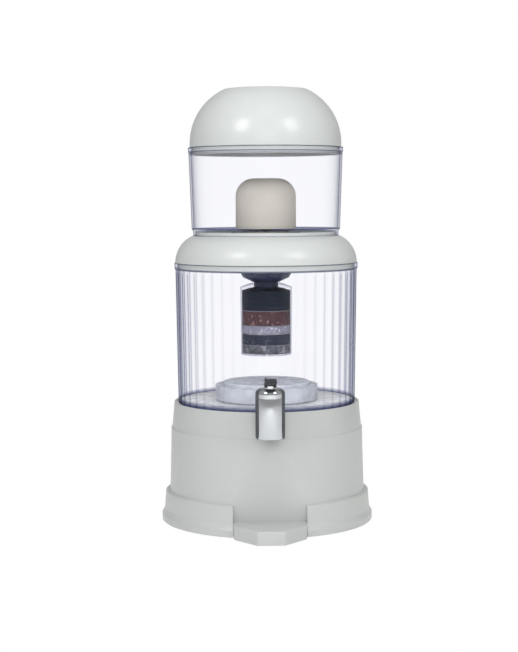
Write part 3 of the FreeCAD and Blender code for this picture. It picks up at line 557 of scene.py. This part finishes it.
def cover_surface(name="Shoulder_cover"):
    """White shoulder cover turned about the axis: spigot, round shoulder of radius 39 mm, guide ring
    and the holed deck of its bowl."""
    edge = 0.5 * sizes().soft_edge
    wall = 2.5 * MM
    bottom, top, rim = low("shoulder_cover"), high("shoulder_cover"), reach("shoulder_cover")
    foot = high("lower_tank") + SEAT_GAP
    bow = 39 * MM
    middle = rim - bow
    shoulder = foot + COVER_RISE
    spigot = spigot_radius()
    deck_drop = 4.3 * MM
    deck = foot - deck_drop
    meet = math.degrees(math.asin(COVER_RISE / bow))
    inner_meet = math.degrees(math.asin((COVER_RISE - wall) / (bow - wall)))
    inner_foot = math.degrees(math.asin(wall / (bow - wall)))
    guide = 94.2 * MM
    hole = 38.5 * MM
    corners = [
        (hole, deck, edge), (spigot - wall, deck, 0.0), (spigot - wall, bottom, edge), (spigot, bottom, edge),
        (spigot, foot, 0.0), (rim, foot, 0.4 * edge),
    ] + arc(middle, foot, bow, 1, meet, steps=30) + [
        (guide, shoulder, 0.0), (guide, top, edge), (guide - wall, top, edge),
        (guide - wall, shoulder - wall, 0.0),
    ] + arc(middle, foot, bow - wall, inner_meet, inner_foot) + [
        (spigot - wall, foot + wall, edge), (spigot - wall, deck + wall, edge), (hole, deck + wall, edge),
    ]
    material = moulded_plastic("Cover white", finishes().lid_white, rough=0.32)
    return piece(name, [(turned(rounded(corners), columns=192), True, True)], material,
                 "cover", ("shoulder_cover",))


def spigot_radius():
    """Radius of the cover's spigot, which stands in the lower tank with a small gap."""
    return TANK_TOP_RADIUS - TANK_WALL - SEAT_GAP


def lower_tank_surface(name="Lower_tank"):
    """Clear lower tank. Its outside is a wall of reeds: r(a, z) = R(z) - d s(z) (1 - |sin(n a / 2)|),
    where n is the number of reeds, d their depth and s fades to nothing under the rim and at the foot.
    The inside and the rim are turned. The floor and the pad for the tap are pieces of their own."""
    fine = sizes().fine_edge
    foot, top = low("lower_tank"), high("lower_tank")
    reed_height = 178.7 * MM
    reed_top = foot + reed_height
    rim, rim_slope = 122.6 * MM, 2 * MM
    heel = 1.2 * MM
    inside_foot, inside_top = TANK_FOOT_RADIUS - TANK_WALL, TANK_TOP_RADIUS - TANK_WALL
    count = int(sizes().reed_count)
    depth = sizes().reed_depth
    columns = count * 12
    turn = np.linspace(0, FULL_TURN, columns, endpoint=False)
    rows = np.concatenate([[0, 0.004, 0.012, 0.03], np.linspace(0.06, 0.94, 12), [0.97, 0.99, 1.0]])
    share = rows[:, None]
    fade = np.clip((1 - share) / 0.02, 0, 1) * np.clip(share / 0.004, 0, 1)
    valley = 1 - np.abs(np.sin(count * turn / 2))[None, :]
    radius = TANK_FOOT_RADIUS + (TANK_TOP_RADIUS - TANK_FOOT_RADIUS) * share - depth * fade * valley
    radius[0] -= heel
    height = foot + (reed_top - foot) * share + 0 * turn[None, :]
    reeded = np.stack([radius * np.cos(turn), radius * np.sin(turn), height], -1)
    rest = rounded([
        (TANK_TOP_RADIUS, reed_top, 0.0), (rim, reed_top + rim_slope, fine), (rim, top, fine),
        (inside_top, top, fine), (inside_top, reed_top, 0.0), (inside_foot, foot + TANK_FLOOR, 0.0),
    ], closed=False)
    # Painted shade: dark bands at the rim's top, just above the reeds and along the tank's foot.
    painted_shade_lines = ((top, 1.2 * MM, 0.7), (reed_top + 1 * MM, 1.8 * MM, 0.75), (foot + 2 * MM, 7 * MM, 0.9))
    look = finishes()
    material = clear_plastic("Clear lower tank", look.clear_tint, look.clear_edge, shine=0.4, painted_shade_lines=painted_shade_lines,
                             reeded=2.2)
    closing = rounded([(inside_foot, foot, 0.0), (TANK_FOOT_RADIUS - heel, foot, 0.0)], closed=False)
    skin = np.concatenate([reeded, turned(rest[1:], columns), turned(closing[:1], columns)])
    # Painted shade for the reeds' valleys, fading under the rim and at the foot, goes to the clear material
    # in the grain attribute.
    tones = np.zeros(skin.shape[:2])
    tones[:reeded.shape[0]] = fade * valley ** 2
    return piece(name, [(skin, True, True)], material, "tank", ("lower_tank",),
                 crease=28.0, tones=tones)


def tank_floor_surface(name="Lower_tank_floor"):
    """Floor of the lower tank: a flat disc between the walls."""
    foot = low("lower_tank")
    top = foot + TANK_FLOOR
    inside = TANK_FOOT_RADIUS - TANK_WALL
    half_way = 60 * MM
    profile = rounded([
        (0.0, foot, 0.0), (half_way, foot, 0.0), (inside, foot, 0.0), (inside, top, 0.0),
        (half_way, top, 0.0), (0.0, top, 0.0),
    ], closed=False)
    material = smoky_plastic("Frosted floor", (0.84, 0.86, 0.94))
    return piece(name, [(turned(profile, columns=192), True, False)], material, "tank")


def tap_pad_surface(name="Tap_pad"):
    """Round pad of the lower tank under the tap's flange: a disc turned about a level axis."""
    bore, radius, thick, front = 6.2 * MM, 13 * MM, 6.8 * MM, 121.8 * MM
    edge = 0.5 * MM
    profile = rounded([(bore, 0.0, 0.0), (radius, 0.0, edge), (radius, thick, edge), (bore, thick, 0.0)])
    grid = turned(profile, columns=64)
    level = low("lower_tank") + TAP_HEIGHT
    laid = np.stack([grid[..., 0], grid[..., 2] - front, grid[..., 1] + level], -1)
    look = finishes()
    material = clear_plastic("Clear pad", look.clear_tint, look.clear_edge, shine=0.4)
    return piece(name, [(laid, True, True)], material, "tank")


def dome_surface(name="Ceramic_dome"):
    """Ceramic dome: a closed skin whose top corner is an arc of radius 24 mm, with its hollow."""
    plate = high("filter_base")
    top = high("ceramic_dome")
    radius = reach("ceramic_dome")
    bend = 24 * MM
    wall = 9 * MM
    shoulder = arc(radius - bend, top - bend, bend, 90, 0, steps=20)
    outer = [(0.0, top, 0.0)] + shoulder + [(radius, plate, 0.0)]
    inner = arc(radius - bend, top - bend, bend - wall, 90, 0, steps=12)
    corners = outer + [(radius - wall, plate, 0.0)] + inner[::-1] + [(0.0, top - wall, 0.0)]
    material = porous_ceramic("Ceramic cream", finishes().cream)
    return piece(name, [(turned(rounded(corners, closed=False), columns=128), True, False)], material,
                 "upper", ("ceramic_dome",))


def funnel_surface(name="Cartridge_funnel"):
    """Dark funnel of the cartridge turned about the axis, with its flange and its plug."""
    fine = sizes().fine_edge
    deck_below = 1.8 * MM
    level = high("shoulder_cover") - GUIDE_RING - COVER_RISE - deck_below
    neck_foot = level - 24.2 * MM
    flange_top = high("cartridge_cap")
    flange_foot = flange_top - 2.5 * MM
    bottom = low("cartridge_cap")
    rim = reach("cartridge_cap")
    wall = 2.4 * MM
    mouth, throat, neck, plug = 37.9 * MM, 31 * MM, 18.7 * MM, 16.2 * MM
    corners = [
        (plug - wall, bottom, fine), (plug, bottom, fine), (plug, neck_foot, fine), (neck, neck_foot, fine),
        (throat, level - 18.5 * MM, 4 * MM), (mouth - 0.3 * MM, level - 6.5 * MM, 2 * MM),
        (mouth, flange_foot, fine), (rim, flange_foot, fine), (rim, flange_top, fine),
        (mouth - wall, flange_top, 2 * fine),
        (mouth - wall, level - 5.3 * MM, 2 * MM), (throat - wall, level - 16.1 * MM, 4 * MM),
        (plug - wall, level - 23 * MM, 2 * MM),
    ]
    material = smoky_plastic("Funnel navy", finishes().navy)
    return piece(name, [(turned(rounded(corners), columns=128), True, True)], material,
                 "cartridge", ("cartridge_cap",))


def bed_surface(node, grain, material):
    """A bed of loose grains: a cylinder whose wall and top are pushed in and out by the grains.
    Each grain is a cell of a jittered net of points; a point's depth follows its distance from the
    nearest grain's middle, and each grain keeps one tone of its own."""
    bottom, top, radius = low(node), high(node), reach(node)
    inset = 0.15 * grain
    rim = radius - inset
    step = grain / 4
    around = int(FULL_TURN * rim / step)
    down = max(int((top - bottom) / step), 4)
    inwards = 10
    turn = np.linspace(0, FULL_TURN, around, endpoint=False)
    heights = np.linspace(bottom + 0.05 * MM, top - 0.05 * MM, down)
    caps = np.linspace(0, 1, inwards)
    radii = np.concatenate([caps, np.ones(down - 2), caps[::-1]])
    levels = np.concatenate([np.full(inwards, heights[0]), heights[1:-1], np.full(inwards, heights[-1])])
    if node == "charcoal_bed":
        cone, narrowing = 3 * MM, 0.27
        radii = radii * (1 - np.clip((levels - (top - cone)) / cone, 0, 1) * narrowing)
    wide = np.broadcast_to(turn[None, :], (len(radii), around))
    tall = np.broadcast_to(levels[:, None], wide.shape)
    hollow, tone = grain_field(wide * rim, tall - bottom, FULL_TURN * rim, grain)
    wall = (radii > 0.99)[:, None]
    radius_here = rim * radii[:, None] + np.where(wall, inset * (1 - 2.2 * hollow), 0.0)
    grid = np.stack([radius_here * np.cos(wide), radius_here * np.sin(wide), tall], -1)
    return piece(node.capitalize(), [(grid, True, False)], material, "cartridge",
                 (node,), crease=180.0, tones=tone)


def grain_field(across, up, girth, grain):
    """Distance to the nearest grain's middle, from 0 to about 1, and that grain's own tone. The
    middles are a square net jittered by a hash; the net closes round the girth."""
    cells = max(int(girth / grain), 3)
    u = across / girth * cells
    v = up / grain
    nearest = np.full(u.shape, 9.0)
    tone = np.zeros(u.shape)
    for step_u in (-1, 0, 1):
        for step_v in (-1, 0, 1):
            cell_u = np.floor(u) + step_u
            cell_v = np.floor(v) + step_v
            own = hashed(cell_u % cells, cell_v, 1.0)
            spot_u = cell_u + 0.15 + 0.7 * own
            spot_v = cell_v + 0.15 + 0.7 * hashed(cell_u % cells, cell_v, 2.0)
            away = np.hypot(u - spot_u, v - spot_v)
            closer = away < nearest
            nearest = np.where(closer, away, nearest)
            tone = np.where(closer, hashed(cell_u % cells, cell_v, 3.0), tone)
    return np.clip(nearest, 0, 1), tone


def hashed(first, second, seed):
    """A repeatable number from 0 to 1 for each pair: the fraction of a large sine."""
    return np.mod(np.sin(first * 127.1 + second * 311.7 + seed * 74.7) * 43758.5453, 1.0)


def stand_outline(radius, height, inset, columns=150, chord=12):
    """Plan of the stand at each level: x = R sin t, y = -R cos t round the back, and a straight chord
    across the front where the leaning facet, y = -(118.4 mm + z tan 5.2), cuts the circle. The chord
    is never wider than the front's two side walls. An inset moves every wall inwards."""
    facet = (FACET_REACH + height * math.tan(FACET_LEAN) - inset)[:, None]
    radius = np.maximum(radius - inset, 0.0)[:, None]
    half = np.sqrt(np.clip(radius ** 2 - facet ** 2, 0, None))
    half = np.minimum(half, FACET_HALF + inset)
    cut = facet < radius
    start = np.arcsin(np.clip(half / np.maximum(radius, 1e-9), 0, 1))
    turn = start + (FULL_TURN - 2 * start) * np.linspace(0, 1, columns)[None, :]
    back = np.stack([radius * np.sin(turn), -radius * np.cos(turn)], -1)
    across = half * np.linspace(-1, 1, chord)[None, :]
    front = np.stack([across, -np.where(cut, facet, radius) + 0 * across], -1)
    return np.concatenate([back, front], 1)


def stand_surface(name="Stand"):
    """Hollow stand and its cup platform. The stand's plan outline is carried up the profile of foot,
    flare, flange, waist, ledge and collar, over the lip to the deck, and down again one wall inside."""
    wall = 3 * MM
    outside = rounded([
        (141.0, 0.0, 0), (141.8, 0.8, 0), (141.8, 9.0, 0.8), (141.0, 9.2, 0.2), (138.3, 16.0, 3),
        (136.5, 39.0, 1.2), (130.9, 39.6, 0.5), (130.7, 45.0, 0.0), (129.6, 85.0, 0.0), (128.6, 125.0, 0.5),
        (127.5, 125.0, 0.4), (127.2, 126.8, 0.4), (124.3, 158.7, 0.5), (124.0, 159.0, 0.2),
        (121.9, 159.0, 0.2), (121.7, 157.0, 0.2), (60.0, 157.0, 0), (0.0, 157.0, 0),
    ], steps=4, closed=False) * MM
    outside = denser(outside, step=2.5 * MM, ceiling=159 * MM)
    inside = np.array([(0, 154), (60, 154), (126, 154), (130.2, 124), (130.9, 80), (133.5, 40), (136.5, 36),
                       (138.3, 16), (141.0, 9), (141.0, 0)]) * MM
    inside = denser(inside, step=6 * MM, ceiling=153 * MM)
    rows = [stand_outline(inside[:, 0], inside[:, 1], wall), stand_outline(outside[:, 0], outside[:, 1], 0.0)]
    levels = np.concatenate([inside[:, 1], outside[:, 1]])
    plan = np.concatenate(rows)
    grid = np.concatenate([plan, np.broadcast_to(levels[:, None, None], plan.shape[:2] + (1,))], -1)
    material = moulded_plastic("Stand white", finishes().stand_white, rough=0.36)
    return piece(name, [(grid, True, False), (platform_surface(), True, False)], material,
                 "stand", ("base_stand",), crease=25.0)


def denser(profile, step, ceiling):
    """A profile with more points on its long steep runs below a height."""
    runs = []
    for first, last in zip(profile[:-1], profile[1:]):
        count = 1
        if max(first[1], last[1]) <= ceiling:
            count = max(int(abs(last[1] - first[1]) / step), 1)
        share = np.linspace(0, 1, count, endpoint=False)[:, None]
        runs.append(first + (last - first) * share)
    return np.concatenate(runs + [profile[-1:]])


def platform_surface():
    """Cup platform: a six-sided plan with rounded corners, drawn in towards its middle along a
    profile of (inset, height), hollow underneath."""
    plan = rounded([
        (47.6, -119.0, 0), (47.6, -134.0, 4), (46.0, -147.0, 6), (17.3, -181.0, 5), (-17.3, -181.0, 5),
        (-46.0, -147.0, 6), (-47.6, -134.0, 4), (-47.6, -119.0, 0),
    ], steps=9) * MM
    middle = np.array((0.0, -147 * MM))
    draw = 33
    profile = rounded([
        (draw, 15, 0), (3, 15, 0.5), (3, 0.0, 0), (0.4, 0.0, 0.3), (0, 18.0, 1.4), (draw, 18.0, 0),
    ], steps=6, closed=False) * MM
    share = 1 - profile[:, 0] / (draw * MM)
    flat = middle + share[:, None, None] * (plan - middle)[None]
    up = np.broadcast_to(profile[:, 1][:, None, None], flat.shape[:2] + (1,))
    return np.concatenate([flat, up], -1)


def tap_surface(name="Tap_body"):
    """Chromed tap: an upright body with a rounded foot, turned about its own axis, with the outlet
    and valve room inside; a shank and wall flange turned about a level axis."""
    fine = sizes().fine_edge
    foot = low("tap_body")
    top = foot + 52.5 * MM
    level = low("lower_tank") + TAP_HEIGHT
    radius, mouth, room, outlet = 18.7 * MM, 15.5 * MM, 13 * MM, 7.5 * MM
    room_top, room_foot = foot + 31.5 * MM, foot + 18.5 * MM
    body = rounded([
        (outlet, foot, fine), (radius, foot, 3 * MM), (radius, top, fine), (mouth, top, 0.0),
        (room, room_top, 0.0), (room, room_foot, 0.0), (outlet, room_foot, 0.0),
    ], steps=7)
    upright = turned(body, columns=128, middle=(0.0, -TAP_REACH))
    shank = rounded([(4, -6, 0), (6, -6, 0), (6, 0, 0), (12.2, 0, 0.4), (12.2, 3.2, 0.4), (6, 3.2, 0),
                     (6, 18, 0.3), (4, 18, 0.3)], steps=4) * MM
    ring = turned(shank, columns=64)
    flange_front = 127.1 * MM
    level_ring = np.stack([ring[..., 0], ring[..., 2] - flange_front, ring[..., 1] + level], -1)
    material = chromed("Chrome", finishes().chrome)
    return piece(name, [(upright, True, True), (level_ring, True, True)], material,
                 "tank", ("tap_body",), crease=32.0)


def spring_surface(name="Valve_spring"):
    """Spring of the valve: a wire of round section carried along a helix, x = r cos t, y = r sin t,
    z rising evenly with t. Its ends are closed."""
    wire = 0.6 * MM
    bottom, top = low("valve_spring"), high("valve_spring")
    radius = reach("valve_spring") - wire
    coils = 4
    share = np.linspace(0, 1, coils * 40 + 1)
    turn = FULL_TURN * coils * share[:, None]
    around = np.linspace(0, FULL_TURN, 12, endpoint=False)[None, :]
    thick = np.full(share.shape, wire)
    thick[[0, -1]] = 0.0
    across = radius + thick[:, None] * np.cos(around)
    height = bottom + wire + (top - bottom - 2 * wire) * share[:, None] + thick[:, None] * np.sin(around)
    grid = np.stack([across * np.cos(turn), across * np.sin(turn) - TAP_REACH, height], -1)
    steel = chromed("Spring steel", STEEL, rough=0.22)
    made = piece(name, [(grid, True, False)], steel, "tank", ("valve_spring",))
    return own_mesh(made)


def beds():
    """The five layers of loose material, each with its own grain and colours."""
    look = finishes()
    size = sizes()
    charcoal = grain_bed("Charcoal grains", look.charcoal, spread=0.5, fleck=(0.07, 0.08, 0.13),
                         fleck_share=0.08, rough=0.45)
    bed_surface("charcoal_bed", size.charcoal_grain, charcoal)
    red = grain_bed("Red beads", look.red, spread=0.35, fleck=(0.3, 0.17, 0.15),
                    fleck_share=0.12)
    bed_surface("red_ceramic_bed", size.red_grain, red)
    silica = grain_bed("Silica grains", look.silica, spread=0.25, fleck=(0.75, 0.74, 0.8),
                       fleck_share=0.15)
    bed_surface("silica_bed", size.silica_grain, silica)
    zeolite = grain_bed("Zeolite grains", look.zeolite, spread=0.5, fleck=(0.12, 0.13, 0.2),
                        fleck_share=0.1)
    bed_surface("zeolite_bed", size.zeolite_grain, zeolite)
    gravel = grain_bed("Gravel", look.gravel, spread=0.75, fleck=(0.3, 0.3, 0.33),
                       fleck_share=0.16)
    bed_surface("gravel_bed", size.gravel_grain, gravel)


def kept_nodes():
    """Finishes for the CAD pieces that are shown as they are."""
    look = finishes()
    smoke = smoky_plastic("Smoke plastic", look.smoke)
    clear = clear_plastic("Clear housing", look.clear_tint, look.clear_edge, sharpness=5.0, shine=0.3)
    chrome = chromed("Polished chrome", look.chrome)
    steel = chromed("Bright steel", STEEL, rough=0.18)
    silicone = soft_silicone("White silicone", (0.72, 0.72, 0.71))
    for nodes, material in (
        (("stone_case_dish", "stone_case_lid"), smoke),
        (("mineral_stones",), porous_ceramic("Pale stones", (0.42, 0.40, 0.38))),
        (("cartridge_housing",), clear),
        (("tap_bonnet",), chrome),
        (("lever_pin", "valve_stem"), steel),
        (("tap_outer_seal", "tap_inner_seal", "valve_plug", "cartridge_gasket", "filter_gasket"), silicone),
        (("tap_lever",), moulded_plastic("Black plastic", (0.018, 0.019, 0.022), rough=0.34, mottle=0.1)),
        (("tap_lock_nut",), moulded_plastic("Nut plastic", (0.62, 0.62, 0.6), rough=0.4)),
        (("felt_pads",), soft_silicone("White felt", (0.22, 0.22, 0.25))),
        (("filter_base", "filter_nut"), moulded_plastic("Cream plastic", (0.5, 0.48, 0.42), rough=0.38)),
    ):
        for node in nodes:
            finish_node(node, material)


def camera_view():
    """The photograph's camera: its place, direction and focal length."""
    data = bpy.data.cameras.new("Photo camera")
    data.sensor_width = SENSOR_MM
    data.lens = FOCAL_PIXELS * SENSOR_MM / PHOTO_HEIGHT
    data.clip_start = 0.05
    data.clip_end = 50
    made = bpy.data.objects.new("Photo camera", data)
    bpy.context.scene.collection.objects.link(made)
    azimuth, pitch, roll = math.radians(-1.7), math.radians(4.79), math.radians(-0.28)
    away, height = 2.05245, 0.43122
    place = Matrix.Translation((away * math.sin(azimuth), -away * math.cos(azimuth), height))
    swing = azimuth + math.atan((AXIS_PIXEL - PHOTO_WIDTH / 2) / FOCAL_PIXELS)
    tilt = Matrix.Rotation(math.pi / 2 - pitch, 4, "X")
    made.matrix_world = place @ Matrix.Rotation(swing, 4, "Z") @ tilt @ Matrix.Rotation(roll, 4, "Z")
    bpy.context.scene.camera = made
    return made


def stage_mesh(name, corners, material):
    """One flat card or floor of the stage, from its corners in order."""
    mesh = bpy.data.meshes.new(name)
    mesh.from_pydata(corners, [], [tuple(range(len(corners)))])
    mesh.materials.append(material)
    made = bpy.data.objects.new(name, mesh)
    bpy.context.scene.collection.objects.link(made)
    return made


def seen_directly(finish):
    """1 for rays from the camera, or through clear plastic, and 0 for the rest."""
    path = "ShaderNodeLightPath"
    camera = finish.node(path, output="Is Camera Ray")
    through = finish.node(path, output="Is Transmission Ray")
    return finish.node("ShaderNodeMath", {"operation": "MAXIMUM"}, {0: camera, 1: through})


def studio_floor():
    """White floor: white where it is seen, and a pale matt surface for the light that it throws up."""
    finish = Finish("Studio floor")
    white = finish.node("ShaderNodeEmission", {}, {"Color": WHITE, "Strength": 1.0})
    cloud = finish.noise(0.4, 3.0)
    tone = finishes().floor
    matt = finish.principled({
        "Base Color": finish.blend(cloud, full(tone, 0.97), full(tone)), "Roughness": 0.8})
    material = finish.close(finish.node("ShaderNodeMixShader", {}, {
        0: seen_directly(finish), 1: matt, 2: white}))
    half, level = 6, -0.5 * MM
    corners = [(-half, -half, level), (half, -half, level), (half, half, level), (-half, half, level)]
    return stage_mesh("Studio floor", corners, material)


def studio_world():
    """White surroundings where they are seen, and a softer grey for the light that they give."""
    world = bpy.data.worlds.new("Studio")
    bpy.context.scene.world = world
    finish = Finish("Studio", world)
    seen = finish.node("ShaderNodeLightPath", output="Is Camera Ray")
    grey_light = finish.node("ShaderNodeBackground", {}, {"Color": WHITE, "Strength": 0.42})
    white_wall = finish.node("ShaderNodeBackground", {}, {"Color": WHITE, "Strength": 1.0})
    around = finish.node("ShaderNodeMixShader", {}, {0: seen, 1: grey_light, 2: white_wall})
    finish.node("ShaderNodeOutputWorld", {}, {"Surface": around})
    return world


def soft_light(name, place, target, wide, tall, power):
    """A soft box that shines from a place towards a target."""
    data = bpy.data.lights.new(name, "AREA")
    data.shape = "RECTANGLE"
    data.size = wide
    data.size_y = tall
    data.energy = power
    made = bpy.data.objects.new(name, data)
    bpy.context.scene.collection.objects.link(made)
    away = np.array(target) - np.array(place)
    level = math.hypot(away[0], away[1])
    made.location = place
    made.rotation_euler = (math.atan2(level, -away[2]), 0.0, math.atan2(-away[0], away[1]))
    return made


def dark_card(name, side):
    """Dark card just behind the tap, for the dark bands at the chrome's sides. Only reflections show it."""
    finish = Finish(name)
    cloud = finish.noise(0.3, 2.0)
    material = finish.close(finish.principled({
        "Base Color": finish.blend(cloud, full((0.09, 0.09, 0.1)), full((0.11, 0.11, 0.12))),
        "Roughness": 0.9}))
    near, far, back = side * 22 * MM, side * 160 * MM, -138 * MM
    foot, top = 110 * MM, 230 * MM
    made = stage_mesh(name, [(near, back, foot), (far, back, foot), (far, back, top), (near, back, top)],
                      material)
    made.visible_camera = False
    made.visible_diffuse = False
    made.visible_shadow = False
    made.visible_transmission = False
    return made


class FILTER_OT_stand(bpy.types.Operator):
    """Add the stand with its cup platform"""
    bl_idname = "water_filter.stand"
    bl_label = "Stand"

    def execute(self, context):
        stand_surface()
        return {"FINISHED"}


class FILTER_OT_white_covers(bpy.types.Operator):
    """Add the domed lid and the shoulder cover"""
    bl_idname = "water_filter.white_covers"
    bl_label = "Lid and cover"

    def execute(self, context):
        lid_surface()
        cover_surface()
        return {"FINISHED"}


class FILTER_OT_tanks(bpy.types.Operator):
    """Add the two clear tanks"""
    bl_idname = "water_filter.tanks"
    bl_label = "Clear tanks"

    def execute(self, context):
        for clear_piece in (upper_tank_surface, lower_tank_surface, tank_floor_surface, tap_pad_surface):
            let_light_in(clear_piece())
        return {"FINISHED"}


class FILTER_OT_filters(bpy.types.Operator):
    """Add the ceramic dome, the funnel and the layers of filter material"""
    bl_idname = "water_filter.filters"
    bl_label = "Ceramic dome and cartridge"

    def execute(self, context):
        dome_surface()
        funnel_surface()
        beds()
        return {"FINISHED"}


class FILTER_OT_tap(bpy.types.Operator):
    """Add the chromed tap body and its valve spring"""
    bl_idname = "water_filter.tap"
    bl_label = "Tap"

    def execute(self, context):
        tap_surface()
        spring_surface()
        return {"FINISHED"}


class FILTER_OT_finishes(bpy.types.Operator):
    """Finish the CAD pieces that are shown as they are"""
    bl_idname = "water_filter.finishes"
    bl_label = "Finishes"

    def execute(self, context):
        kept_nodes()
        return {"FINISHED"}


class FILTER_OT_stage(bpy.types.Operator):
    """Add the floor, surroundings, lights and camera"""
    bl_idname = "water_filter.stage"
    bl_label = "Stage"

    def execute(self, context):
        studio_floor()
        studio_world()
        soft_light("Left window", (-1.35, -1.6, 1.75), (0, 0, 0.4), wide=0.75, tall=0.95, power=13)
        soft_light("Right window", (1.35, -1.6, 1.75), (0, 0, 0.4), wide=0.75, tall=0.95, power=11)
        front = soft_light("Front light", (0.0, -2.6, 1.1), (0, 0, 0.25), wide=1.0, tall=1.0, power=26)
        top = soft_light("Top light", (0.0, -1.0, 2.1), (0, -0.1, 0.2), wide=1.2, tall=1.2, power=16)
        back = soft_light("Back light", (0.5, 2.4, 1.7), (0, 0, 0.3), wide=1.0, tall=1.0, power=14)
        for light in (front, top, back):
            light.visible_glossy = False
        dark_card("Left card", -1)
        dark_card("Right card", 1)
        camera_view()
        context.scene.view_settings.view_transform = "Standard"
        return {"FINISHED"}


OPERATORS = (FILTER_OT_stand, FILTER_OT_white_covers, FILTER_OT_tanks, FILTER_OT_filters, FILTER_OT_tap,
             FILTER_OT_finishes, FILTER_OT_stage)


class FILTER_PT_panel(bpy.types.Panel):
    """Sizes, colours and pieces of the water filter"""
    bl_idname = "FILTER_PT_panel"
    bl_label = "Water filter"
    bl_space_type = "VIEW_3D"
    bl_region_type = "UI"
    bl_category = "Water filter"

    def draw(self, context):
        for group in (context.scene.filter_sizes, context.scene.filter_colours):
            column = self.layout.column(align=True)
            for key in group.__annotations__:
                column.prop(group, key)
        for operator in OPERATORS:
            self.layout.operator(operator.bl_idname)


CLASSES = (FILTER_PG_sizes, FILTER_PG_colours) + OPERATORS + (FILTER_PT_panel,)


def register():
    for kind in CLASSES:
        bpy.utils.register_class(kind)
    bpy.types.Scene.filter_sizes = bpy.props.PointerProperty(type=FILTER_PG_sizes)
    bpy.types.Scene.filter_colours = bpy.props.PointerProperty(type=FILTER_PG_colours)


def unregister():
    del bpy.types.Scene.filter_colours
    del bpy.types.Scene.filter_sizes
    for kind in reversed(CLASSES):
        bpy.utils.unregister_class(kind)


def main():
    register()
    for make in (bpy.ops.water_filter.stand, bpy.ops.water_filter.white_covers, bpy.ops.water_filter.tanks,
                 bpy.ops.water_filter.filters, bpy.ops.water_filter.tap, bpy.ops.water_filter.finishes,
                 bpy.ops.water_filter.stage):
        if make() != {"FINISHED"}:
            raise RuntimeError(f"{make} did not finish")


if __name__ == "__main__":
    main()
